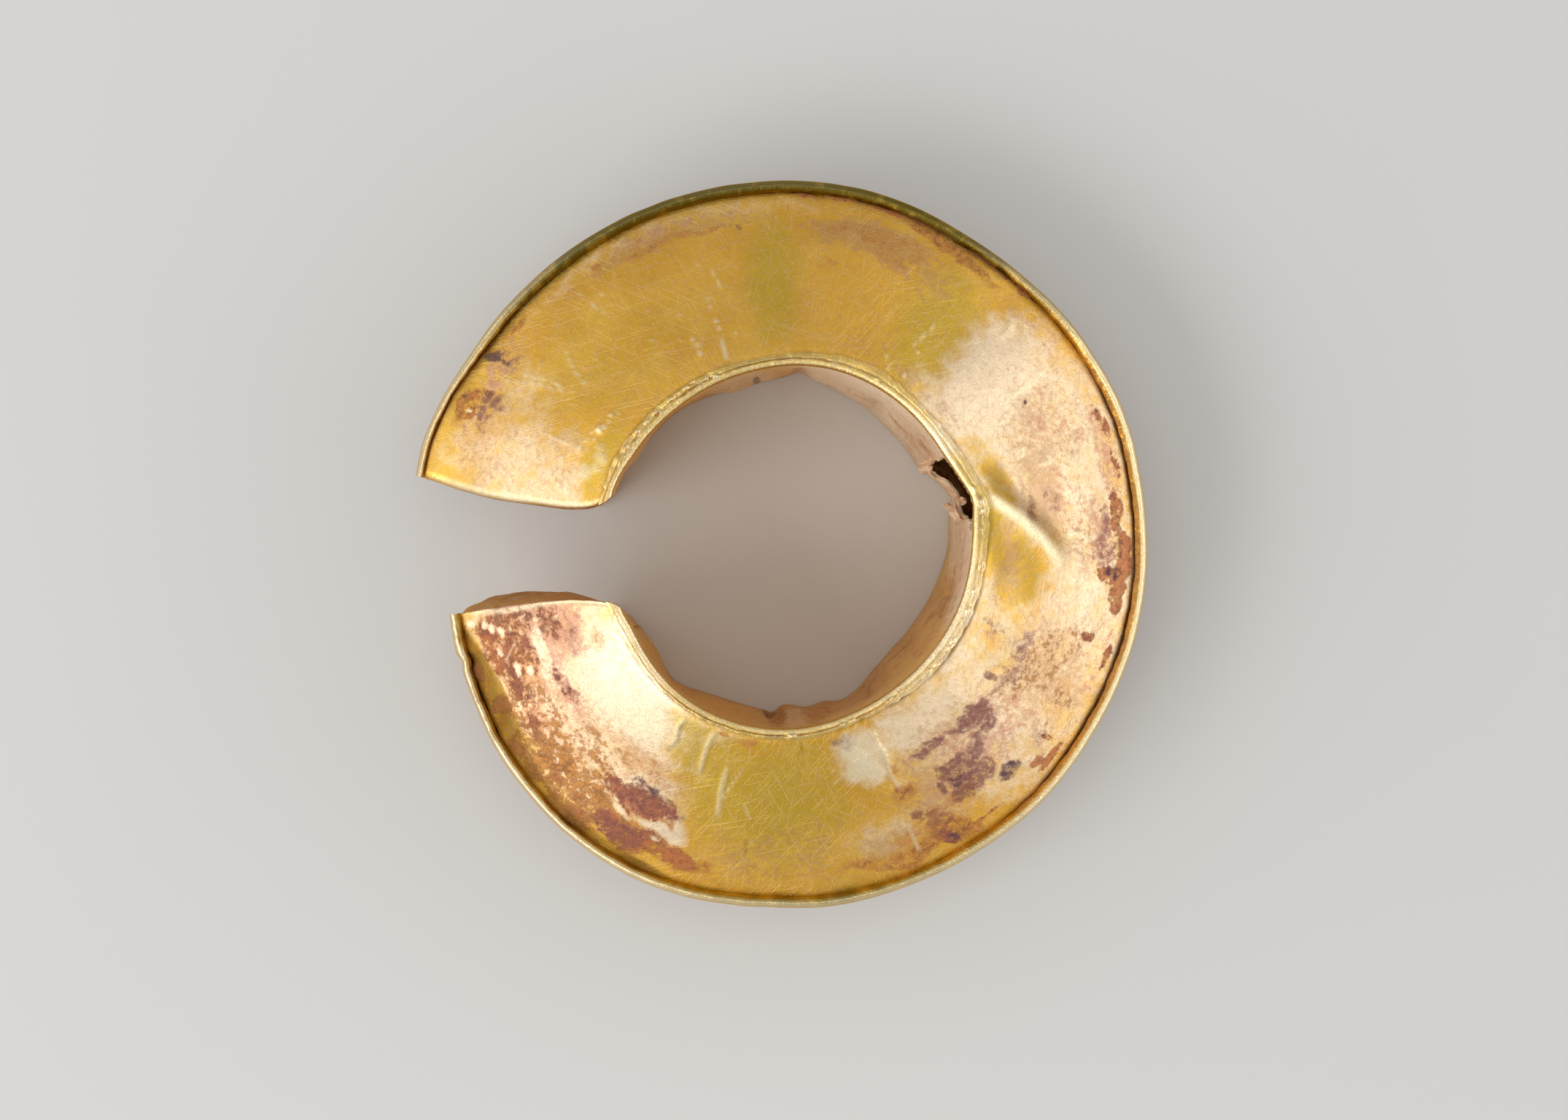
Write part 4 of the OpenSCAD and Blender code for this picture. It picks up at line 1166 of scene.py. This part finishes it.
# %% Charts of the front face plate
# angle, strength of the painted shade along the strip's front edge, its half width
STRIP_SHADOW = [
    (-170, 0.4, 0.12), (-120, 0.3, 0.1), (-60, 0.2, 0.1), (-45, 0.6, 0.09), (22, 0.7, 0.09), (30, 0.2, 0.1),
    (46, 0.3, 0.12), (90, 0.2, 0.12), (120, 0.1, 0.08), (134, 0.5, 0.1), (150, 1, 0.2), (170, 1, 0.22),
]
# angle, strength of the painted shade along the lip's outer edge
LIP_SHADOW = [
    (-165, 0.2), (-120, 0.5), (-75, 0.5), (-60, 0.8), (-18, 0.9), (0, 0.5), (30, 0.4), (60, 0.4),
    (100, 0.6), (150, 0.7), (166, 0.4),
]
# angle, radius seen where the bent-down margin at the lower left begins
MARGIN_LINE = [
    (-172, 13.6), (-165, 13.2), (-160, 12.86), (-155, 12.66), (-150, 12.7), (-145, 12.92), (-140, 13.3),
    (-135, 13.5), (-128, 13.7), (-120, 13.82), (-112, 13.95), (-106, 14.3),
]

x, y, z = points_of(front_plate)
angle, seen = as_seen(x, y, z)
true_angle, r = round_ring(x, y)
margin = ramp(seen, smooth(MARGIN_LINE, angle, 1), 0.14) * (angle < MARGIN_LINE[-1][0])
values = front_stain_and_light_values(angle, seen)
# The bent-down margin is painted olive as shade, with less cream, pink and tan
values["olive"] = np.maximum(values["olive"], margin)
for name in ("cream", "pink", "tan"):
    values[name] *= 1 - 0.8 * margin
from_lip = np.clip((r - lip_r(true_angle) - 0.02) / 0.09, 0, None)
under_strip = binding_r(true_angle) - smooth(RIM, true_angle, 3) - 0.02
from_strip = np.clip(under_strip - r, 0, None) / smooth(STRIP_SHADOW, true_angle, 2)
# The painted shade on the bent-down margin is darker near the arm's end
shaded = mix(0.82, 1.02, ramp(angle, -150, -8))
# Painted shade along the lip, under the strip, on the margin and beside the drawn lines, with some dirt
dirt_and_shade = [
    smooth(LIP_SHADOW, true_angle, 1) * bump(from_lip),
    smooth(STRIP_SHADOW, true_angle, 1) * bump(from_strip),
    margin * (shaded + 0.3 * waves(x, y, 0.7, 46)),
    thin_lines(SHADE_AND_DIRT_LINES, angle, seen),
]
values["dirt_and_shade"] = np.max(dirt_and_shade, axis=0)
# Painted highlights on crests, raised lines, scratches and warts' tops, partly real wear
shining = HIGHLIGHT_LINES + [(line[0], 0.14, 0.8) for line in RAISED_LINES]
shining += [(line[0], 0.07, 0.6) for line in SCRATCHES]
wear_and_highlight = [
    thin_lines(shining, angle, seen),
    bright_spots(SPOTS, 0.6, 12, angle, seen),
    0.6 * blots(HIGHLIGHT_PATCHES, angle, seen),
]
values["wear_and_highlight"] = np.max(wear_and_highlight, axis=0)
keep_charts(front_plate, values)
print(f"worn share of the front plate: {np.mean(values['wear_and_highlight'] > 0.5):.3f}")

# %% [markdown]
# The strip's crest is painted bright as a highlight, partly real wear, but at the top, where it
# catches little light, it is painted olive as shade, with speckles. Its inner part at the right is
# painted orange as a reflection of the plate. The crest is a line round the ring, so its charts
# follow the distance from the outer edge.

# %% Charts of the binding strip
# angle, how bright the strip's crest is
STRIP_SHINE = [
    (-170, 0.9), (-118, 0.8), (-100, 0.6), (-80, 0.5), (-60, 0.6), (-40, 0.85), (20, 0.9), (45, 0.4),
    (60, 0.04), (90, 0.08), (125, 0.12), (150, 0.7), (170, 0.8),
]

x, y, z = points_of(binding)
angle, seen = as_seen(x, y, z)
true_angle, r = round_ring(x, y)
inside = binding_r(true_angle) - r
crest = smooth(STRIP_SHINE, angle, 1)
# The inner part at the right is painted orange as a reflection of the plate
orange = ramp(inside, 0.26, 0.08) * np.clip(1.4 - np.abs(angle + 12) / 50, 0, 1)
values = front_stain_and_light_values(angle, seen)
# Where the crest catches little light it is painted olive as shade
values["olive"] = np.maximum(values["olive"], 1 - crest)
values["amber"] = 1.2 * orange
values["earth"] = 0.85 * orange
values["cream"] *= 0.3
values = {name: chart * (z > ring_mid) for name, chart in values.items()}
# The crest's painted highlight, partly real wear
values["wear_and_highlight"] = np.clip(1.3 * crest * bump((inside - 0.13) / 0.24), 0, 1)
# Painted shade with speckles on the dim crest and the inner part
speckled_shade = [
    1.7 * (1 - crest) ** 0.9 * ramp(inside, -0.06, 0.12),
    0.6 * ramp(inside, 0.24, 0.08) * (orange < 0.1),
    0.25 * orange,
]
values["dirt_and_shade"] = np.max(speckled_shade, axis=0) * (0.85 + 0.35 * waves(x, y, 0.3, 45))
keep_charts(binding, values)
print(f"bright share of the strip: {np.mean(crest > 0.5):.2f}")

# %% [markdown]
# The tube's wall stands upright and is seen only at a slant, so angle and radius can't chart it. Its
# stains are listed by angle and height, and the lip on top of it takes the stains seen from above.

# %% Charts of the tube and its shreds
# angle, how bright the lip is painted; the rest is painted olive as shade, with dark specks
LIP_SHINE = [
    (-165, 1), (-136, 0.85), (-122, 0.35), (-80, 0.4), (-60, 0.7), (-30, 1), (-6, 0.95), (3, 0.4),
    (22, 0.42), (32, 0.85), (46, 0.65), (62, 0.25), (105, 0.15), (125, 0.3), (160, 0.7),
]
# angle, height, half length, half height, strength
WALL_STAIN_AND_LIGHT_CHARTS = {
    "earth": [
        (-35, 6, 5, 5, 0.45), (-79, 6, 0.7, 5, 0.8), (-92, 6, 0.4, 6, 0.9), (45, 5, 3.5, 5, 0.2),
        (-21, 6.8, 0.6, 0.6, 0.9), (-26, 5.5, 0.8, 0.5, 0.8), (-42, 3.4, 1.6, 0.6, 0.75),
        (-52, 6.5, 1, 0.4, 0.6), (34, 7.5, 0.9, 0.6, 0.7), (42, 5.5, 1.4, 0.4, 0.6),
    ],
    "red": [(-60, 5, 1.2, 4, 0.4), (62, 4, 1, 3, 0.35)],
    "violet": [(-20, 7, 1, 3, 0.4)],
    "soot": [(99.5, 2.5, 0.15, 2, 0.8), (-95, 1.5, 0.3, 1.2, 0.8)],
    # Cream on the wall is mostly painted light, where the wall and the shreds should look lit
    "cream": [
        (-86, 6, 0.6, 5, 0.7), (66, 6, 2.2, 9, 1.4), (50, 8, 1.6, 7, 1.2), (104, 4, 1.4, 6, 1.1),
        (15, 8, 3, 7, 1.3), (0, 10, 3, 2.5, 1.2), (36, 5, 2, 8, 1.3),
    ],
    # Olive on the wall is painted shade at its foot at the right and at the lower left
    "olive": [(-112, 6, 4, 6, 0.6), (-150, 6, 3, 6, 0.5), (-7, 2.6, 1.6, 1.4, 1.1), (-17, 2, 1.2, 1, 1)],
    "tan": [(-40, 5, 6, 6, 0.4), (42, 5, 3, 6, 0.35), (105, 5, 3, 5, 0.4), (-80, 5, 3, 6, 0.5)],
    "pink": [(20, 7, 4, 4, 0.6), (-10, 8, 3, 3, 0.6)],
    "amber": [(-35, 6, 6, 8, 1.2), (100, 4, 3, 5, 0.5), (-110, 5, 4.5, 8, 1.3)],
}
for piece in [tube] + shreds:
    x, y, z = points_of(piece)
    angle, seen = as_seen(x, y, z)
    lip = ramp(z, ring_h - 0.35, 0.15)
    on_front = front_stain_and_light_values(angle, seen)
    shine = smooth(LIP_SHINE, angle, 1)
    # Where the lip is painted dim it turns olive as shade and loses its cream
    on_front["olive"] = np.maximum(on_front["olive"], 1.4 * (1 - shine))
    on_front["cream"] *= shine
    values = {}
    for name in STAIN_AND_LIGHT_CHARTS:
        wall = np.zeros(len(z))
        for at, mid, half_length, half_height, strength in WALL_STAIN_AND_LIGHT_CHARTS[name]:
            along = tube_r * np.radians(angle - at) / half_length
            away = along ** 2 + ((z - mid) / half_height) ** 2
            wall = np.maximum(wall, strength * thinning(away, WALL_FLAT))
        values[name] = mix(wall, on_front[name], lip)
    true_angle, r = round_ring(x, y)
    out_lip = r - front_r(true_angle)
    # A painted highlight along the lip's folded edge and on the crimps' tops
    edge_line = bump((out_lip - 0.12) / mix(0.07, 0.11, shine))
    bright = 0.15 + 0.15 * shine + (0.4 + 0.3 * shine) * edge_line
    values["wear_and_highlight"] = lip * np.maximum(bright, bright_spots(LIP_CRIMPS, 0.7, 5, angle, seen))
    # The wall is dull, most of all at the right and near 58 degrees
    dull = mix(0.35, 1.0, np.clip(np.cos(np.radians(angle - 5)) * 1.6, 0, 1))
    values["dull"] = (1 - lip) * np.maximum(1.2 * dull, 1.7 * bump((angle - 58) / 50))
    # Darker towards the bottom of the wall
    low_places = np.clip(0.35 - z / ring_h, 0, 1) * (1 - lip)
    # Darker along the lip's groove, in random patches, and as painted shade where the lip is dim
    groove = 0.25 * bump((out_lip - 0.26) / 0.06) + 0.35 * waves(x, y, 0.5, 44).clip(0, 1)
    groove += (1 - shine) * bump((out_lip - 0.30) / 0.16) * (0.6 + 0.4 * waves(x, y, 0.2, 47))
    values["dirt_and_shade"] = low_places + lip * groove
    keep_charts(piece, values)
print("wall stains:", sum(len(rows) for rows in WALL_STAIN_AND_LIGHT_CHARTS.values()))

# %% [markdown]
# The back lies on the table, and the end plates show only as narrow bands, so nothing on them was
# charted. Broad random waves at the level of each stain give them the same old skin.

# %% Charts of the back and the end plates
# How strong each stain is
BACK_LEVELS = {
    "earth": 0.42, "red": 0.25, "violet": 0.35, "soot": 0.0, "cream": 0.5, "olive": 0.55, "tan": 0.6,
    "amber": 0.5, "pink": 0.3,
}
END_LEVELS = BACK_LEVELS | {"earth": 0.50, "red": 0.35, "cream": 0.0, "pink": 0.0, "amber": 0.7}
# piece, its stains, how worn it is
HIDDEN = [(back_plate, BACK_LEVELS, 0.3), (upper_end, END_LEVELS, 0.08), (lower_end, END_LEVELS, 0.08)]
for seed, (piece, levels, bare) in enumerate(HIDDEN):
    x, y, z = points_of(piece)
    values = {}
    for n, (name, level) in enumerate(levels.items()):
        values[name] = level * (1 + waves(x + z, y + z, 4.0, 70 + 10 * seed + n))
    values["wear_and_highlight"] = bare * (1 + waves(x + y, y + z, 0.8, 90 + seed))
    values["dirt_and_shade"] = 0.1 * (1 + waves(x + y, y + z, 1.8, 95 + seed))
    keep_charts(piece, values)
print("pieces with stains:", 3 + len(shreds) + len(HIDDEN))

# %% [markdown]
# ## The gold
# Old sheet gold isn't one colour. It is a warm yellow metal, satin from wear, with orange zones,
# greenish zones that are painted shade, fine scratches in all directions and the charts above, which
# hold stains and painted highlights and shade. A picture of gold would smear at the folds, so the
# colour and the roughness are built from noise in the object's own coordinates. A small helper keeps
# each node to one line.

# %% Helpers for materials
def node(tree, kind, inputs=None, **settings):
    """Adds a shader node, with constants or other nodes' outputs on its inputs"""
    made = tree.nodes.new("ShaderNode" + kind)
    for name, value in settings.items():
        setattr(made, name, value)
    for key, value in (inputs or {}).items():
        if isinstance(value, bpy.types.NodeSocket):
            tree.links.new(value, made.inputs[key])
        else:
            made.inputs[key].default_value = value
    return made


def blend_colour(tree, factor, under, over):
    """The colour under covered by the colour over, as strongly as factor says"""
    inputs = {0: factor}
    for key, colour in ((6, under), (7, over)):
        inputs[key] = colour if isinstance(colour, bpy.types.NodeSocket) else (*colour, 1)
    return node(tree, "Mix", inputs, data_type="RGBA").outputs[2]


def noise(tree, place, per_mm, detail=4.0, rough=0.55):
    """Noise from 0 to 1 with so many patches to a millimetre"""
    inputs = {"Vector": place, "Scale": per_mm / MM, "Detail": detail, "Roughness": rough}
    return node(tree, "TexNoise", inputs).outputs[0]


def between(tree, value, low, high):
    """0 below low, 1 above high, and a smooth step between them"""
    return node(tree, "MapRange", {0: value, 1: low, 2: high}, interpolation_type="SMOOTHSTEP").outputs[0]


def maths(tree, operation, a, b):
    """The result of a Math node on two values"""
    return node(tree, "Math", {0: a, 1: b}, operation=operation).outputs[0]


def plus(tree, a, b):
    """The sum of two values"""
    return maths(tree, "ADD", a, b)


def times(tree, a, b):
    """The product of two values"""
    return maths(tree, "MULTIPLY", a, b)


print("helpers ready")

# %% [markdown]
# A scratch is a very long, very thin patch of noise. The pattern is turned and stretched by a
# Mapping node, and only its highest crests are kept. Five such patterns at different turns look like
# years of wiping and handling. A stain starts from its chart: noise is added to the chart, and the
# sum is cut at one level, so the same crust has broad tongues and fine crumbs.

# %% Scratches and ragged stains
SCRATCH_TURNS = [12, 48, 81, 118, 155]
# Millimetres: width and length of a scratch's patch of noise
SCRATCH_WIDTH = 0.5
SCRATCH_LENGTH = 24


def scratches(tree, place):
    """Height of fine scratches in several directions"""
    total = None
    for n, turn in enumerate(SCRATCH_TURNS):
        inputs = {"Vector": place, "Location": (n * MM, 0, n * MM), "Rotation": (0, 0, math.radians(turn)),
                  "Scale": (MM / SCRATCH_WIDTH, MM / SCRATCH_LENGTH, MM / SCRATCH_WIDTH)}
        turned = node(tree, "Mapping", inputs, vector_type="TEXTURE").outputs[0]
        lines = node(tree, "TexNoise", {"Vector": turned, "Scale": 1.0, "Detail": 1.0}).outputs[0]
        lines = between(tree, lines, 0.62, 0.74)
        total = lines if total is None else maths(tree, "MAXIMUM", total, lines)
    return total


def chart_value(tree, chart):
    """A chart's value at the place that is drawn"""
    return node(tree, "Attribute", attribute_name=chart).outputs["Fac"]


def ragged(tree, chart, torn, spread, level=0.5, softness=0.08):
    """A chart with its edge torn by noise, as a factor from 0 to 1"""
    value = chart_value(tree, chart)
    torn = between(tree, torn, 0.32, 0.68)
    shaken = node(tree, "Math", {0: torn, 1: spread, 2: -0.5 * spread}, operation="MULTIPLY_ADD").outputs[0]
    cut = between(tree, plus(tree, value, shaken), level - softness, level + softness)
    # Without a chart value there is no stain, however high the noise
    return times(tree, cut, between(tree, value, 0.02, 0.25))


print("scratch directions:", len(SCRATCH_TURNS))

# %% [markdown]
# Now the finish itself. Broad noise mixes two golds, the soft charts tint them, olive as painted
# shade and cream partly as painted highlight, and the ragged charts lay the stains over, all as a
# list of layers. Painted shade and highlights come last. Where a crust lies, the metal shines
# through less and the surface is rougher. The bump adds grain, scratches and the edge of each crust.

# %% One finish for every kind of sheet
WARM = (0.86, 0.50, 0.075)
DEEP = (0.76, 0.41, 0.050)
OLIVE = (0.62, 0.41, 0.040)
AMBER = (0.86, 0.47, 0.060)
CREAM = (1.00, 0.82, 0.60)
SHINE = (1.00, 0.86, 0.56)
EARTH_LIGHT = (0.64, 0.30, 0.078)
EARTH_DARK = (0.24, 0.085, 0.030)
RED_LIGHT = (0.58, 0.20, 0.080)
RED_DARK = (0.16, 0.045, 0.045)
VIOLET = (0.21, 0.078, 0.084)
ORANGE_WASH = (0.60, 0.27, 0.075)
SOOT = (0.085, 0.050, 0.075)
TAN = (0.60, 0.32, 0.14)
PINK = (0.66, 0.32, 0.21)
# Tint of painted shade and of dirt
DIRT_AND_SHADE_TINT = (0.21, 0.09, 0.022)
# The strip's tint of painted shade and dirt
DARK_OLIVE = (0.13, 0.095, 0.012)
EDGE_TINT = (1.0, 0.72, 0.42)


def new_material(name):
    """A material with nodes, and the shader node in it"""
    material = bpy.data.materials.new(name)
    material.use_nodes = True
    return material, material.node_tree.nodes["Principled BSDF"]


def sheet_gold(name, light, deep, roughness, grain, crust, shine, shade_and_dirt_tint=DIRT_AND_SHADE_TINT):
    """A satin gold finish. crust is how strongly the stains cover it, shine how metallic it is"""
    material, shader = new_material(name)
    tree = material.node_tree
    place = node(tree, "TexCoord").outputs["Object"]
    broad = noise(tree, place, 0.35, 3)
    mottled = noise(tree, place, 1.3, 10, 0.68)
    crumbs = noise(tree, place, 4.0, 8, 0.75)
    freckles = noise(tree, place, 9, 4, 0.7)
    grit = noise(tree, place, 14, 3)
    fine_lines = scratches(tree, place)
    wear_and_highlight = chart_value(tree, "wear_and_highlight")
    torn = times(tree, plus(tree, mottled, crumbs), 0.5)
    # Soft washes, then stains with torn edges and crumbs in them
    both = plus(tree, chart_value(tree, "earth"), chart_value(tree, "red"))
    wash = times(tree, between(tree, both, 0.15, 0.9), between(tree, torn, 0.32, 0.52))
    violet = between(tree, chart_value(tree, "violet"), 0.1, 1.0)
    bloom = times(tree, violet, between(tree, torn, 0.34, 0.62))
    earth = ragged(tree, "earth", torn, 1.1, 0.66, 0.14)
    red = ragged(tree, "red", torn, 1.0, 0.60, 0.12)
    haze = ragged(tree, "violet", torn, 1.0, 0.60, 0.46)
    haze = times(tree, haze, between(tree, crumbs, 0.15, 0.62))
    soot = times(tree, ragged(tree, "soot", torn, 0.9, 0.5, 0.35), 0.8)
    brown = blend_colour(tree, between(tree, crumbs, 0.40, 0.60), EARTH_DARK, EARTH_LIGHT)
    rust = blend_colour(tree, between(tree, crumbs, 0.46, 0.64), RED_LIGHT, RED_DARK)
    # Layers over the metal: where each one lies, how strong it is there, and its colour
    layers = []
    # Olive paints shade here, and cream a pale film and highlights
    for chart, tint in (("olive", OLIVE), ("amber", AMBER), ("cream", CREAM)):
        layers.append((ragged(tree, chart, mottled, 0.5, 0.5, 0.5), 0.85, tint))
    layers += [
        (between(tree, crumbs, 0.46, 0.70), 0.45, TAN),
        (ragged(tree, "tan", torn, 1.1, 0.6, 0.35), 0.6, TAN),
        (between(tree, freckles, 0.54, 0.70), 0.22, CREAM),
        (fine_lines, 0.20, SHINE),
        (ragged(tree, "pink", torn, 1.0, 0.60, 0.30), 0.7 * crust, PINK),
        (wash, 0.75 * crust, ORANGE_WASH),
        (bloom, 0.50 * crust, VIOLET),
        (earth, 0.80 * crust, brown),
        (red, 0.75 * crust, rust),
        (haze, 0.66 * crust, VIOLET),
        (soot, crust, SOOT),
        # Painted shade in corners, on the margin and on dim parts, and dirt
        (chart_value(tree, "dirt_and_shade"), 0.8, shade_and_dirt_tint),
        # Painted highlights, partly real wear
        (wear_and_highlight, 0.8, SHINE),
    ]
    colour = blend_colour(tree, between(tree, broad, 0.35, 0.65), light, deep)
    for where, strength, tint in layers:
        colour = blend_colour(tree, times(tree, where, strength), colour, tint)
    covered = maths(tree, "MAXIMUM", maths(tree, "MAXIMUM", earth, red), soot)
    rough = node(tree, "MapRange", {0: mottled, 1: 0.3, 2: 0.7, 3: roughness - 0.05, 4: roughness + 0.07})
    rough = plus(tree, rough.outputs[0], times(tree, covered, 0.22))
    rough = maths(tree, "SUBTRACT", rough, times(tree, wear_and_highlight, 0.12))
    metal = node(tree, "MapRange", {0: covered, 1: 0.0, 2: 1.0, 3: shine, 4: shine * 0.62}).outputs[0]
    # The crumpled wall of the tube is dull
    metal = maths(tree, "SUBTRACT", metal, times(tree, chart_value(tree, "dull"), 0.55))
    relief = times(tree, fine_lines, 0.4)
    for pattern, height in ((grit, grain), (covered, 0.5), (mottled, 2.0), (crumbs, 1.0)):
        relief = plus(tree, relief, times(tree, pattern, height))
    raised = node(tree, "Bump", {"Strength": 0.8, "Distance": 0.016 * MM, "Height": relief})
    # Gold stays yellow where it is seen at a slant
    shader.inputs["Specular Tint"].default_value = (*EDGE_TINT, 1)
    tree.links.new(colour, shader.inputs["Base Color"])
    tree.links.new(rough, shader.inputs["Roughness"])
    tree.links.new(metal, shader.inputs["Metallic"])
    tree.links.new(raised.outputs[0], shader.inputs["Normal"])
    return material


plate_gold = sheet_gold("plate_sheet", WARM, DEEP, 0.38, 0.6, 1.0, 1.0)
tube_gold = sheet_gold("tube_sheet", (0.92, 0.58, 0.13), (0.82, 0.46, 0.07), 0.30, 0.8, 0.8, 0.95)
# The strip's painted shade and dirt are dark olive
binding_gold = sheet_gold("binding_sheet", (0.90, 0.60, 0.19), (0.82, 0.50, 0.12), 0.24, 0.8, 0.8, 1.0,
                          DARK_OLIVE)
end_gold = sheet_gold("end_sheet", (0.28, 0.115, 0.022), (0.19, 0.07, 0.015), 0.40, 1.2, 0.5, 0.85)
print("finishes:", [finish.name for finish in (plate_gold, tube_gold, binding_gold, end_gold)])

# %% [markdown]
# ## Put the pieces on the ring
# Each dressed sheet takes the place of its plain solid and moves with the ring's one body. The
# shreds belong to the tube and take its finish.

# %% Give each piece its finish and its place
DRESSED = [
    (front_plate, plate_gold, "plate_gold", "front_face_plate"),
    (back_plate, plate_gold, "plate_gold", "back_face_plate"),
    (tube, tube_gold, "tube_gold", "inner_tube"),
    (binding, binding_gold, "binding_gold", "rim_binding"),
    (upper_end, end_gold, "end_gold", "upper_end_plate"),
    (lower_end, end_gold, "end_gold", "lower_end_plate"),
]
for piece, finish, slot, solid in DRESSED:
    piece.data.materials.append(finish)
    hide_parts(solid)
    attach(piece, "root")
for piece in shreds:
    piece.data.materials.append(tube_gold)
    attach(piece, "root")
print("pieces:", len(DRESSED) + len(shreds))

# %% [markdown]
# ## The table
# The ring lies on a plain pale table. It could be left out, but it carries the soft shadow, and it
# throws light up into the hole, onto the tube's wall.

# %% Pale floor
# Metres from the middle of the floor to its edge
FLOOR_HALF = 2.0
floor_mesh = bpy.data.meshes.new("floor")
ground = bmesh.new()
bmesh.ops.create_grid(ground, x_segments=1, y_segments=1, size=FLOOR_HALF)
ground.to_mesh(floor_mesh)
ground.free()
floor = add_object("floor", floor_mesh)
paper, paper_shader = new_material("pale_paper")
paper_shader.inputs["Base Color"].default_value = (0.62, 0.61, 0.59, 1)
paper_shader.inputs["Roughness"].default_value = 0.9
floor.data.materials.append(paper)
print("floor:", 2 * FLOOR_HALF, "m wide")

# %% [markdown]
# ## The light
# A cone of polished metal mirrors what is just above the horizon, so its look depends on the lights
# more than on its colour. An even sky would be simpler, but it would light all sides alike. Here two
# wide soft panels stand low at the left and the right, as in a copy-stand set-up, a small one lights
# the gap and one hangs above. Top and bottom of the ring mirror mostly the dimmer room, which gives
# the deep olive gold there.

# %% Soft light
# azimuth round the ring, elevation, distance in millimetres, width, height, brightness
PANELS = {
    "panel_right": (0, 18, 260, 500, 130, 1.35),
    "panel_left": (191, 18, 260, 500, 130, 1.25),
    "panel_gap": (212, 48, 300, 200, 120, 3.6),
    "panel_above": (90, 84, 330, 190, 140, 1.15),
}
ROOM_LIGHT = 0.62

for name, (azimuth, elevation, distance, width, height, brightness) in PANELS.items():
    light = bpy.data.lights.new(name, "AREA")
    light.shape = "RECTANGLE"
    light.size = width * MM
    light.size_y = height * MM
    light.energy = brightness * math.pi * light.size * light.size_y
    panel = add_object(name, light)
    turn = Matrix.Rotation(math.radians(azimuth), 4, "Z")
    turn = turn @ Matrix.Rotation(math.radians(90 - elevation), 4, "Y")
    out = Matrix.Translation((0, 0, distance * MM))
    panel.matrix_world = turn @ out @ Matrix.Rotation(math.radians(90), 4, "Z")
    panel.visible_camera = False

room = bpy.data.worlds.new("room")
room.use_nodes = True
background = room.node_tree.nodes["Background"]
background.inputs["Color"].default_value = (1, 1, 1, 1)
background.inputs["Strength"].default_value = ROOM_LIGHT
bpy.context.scene.world = room
bpy.context.scene.view_settings.view_transform = "Standard"
print("panels:", list(PANELS))

# %% [markdown]
# ## Update the scene
# The dressed ring has to stay as big as the solids. Here the scene is only brought up to date.

# %% Update the scene
bpy.context.view_layer.update()
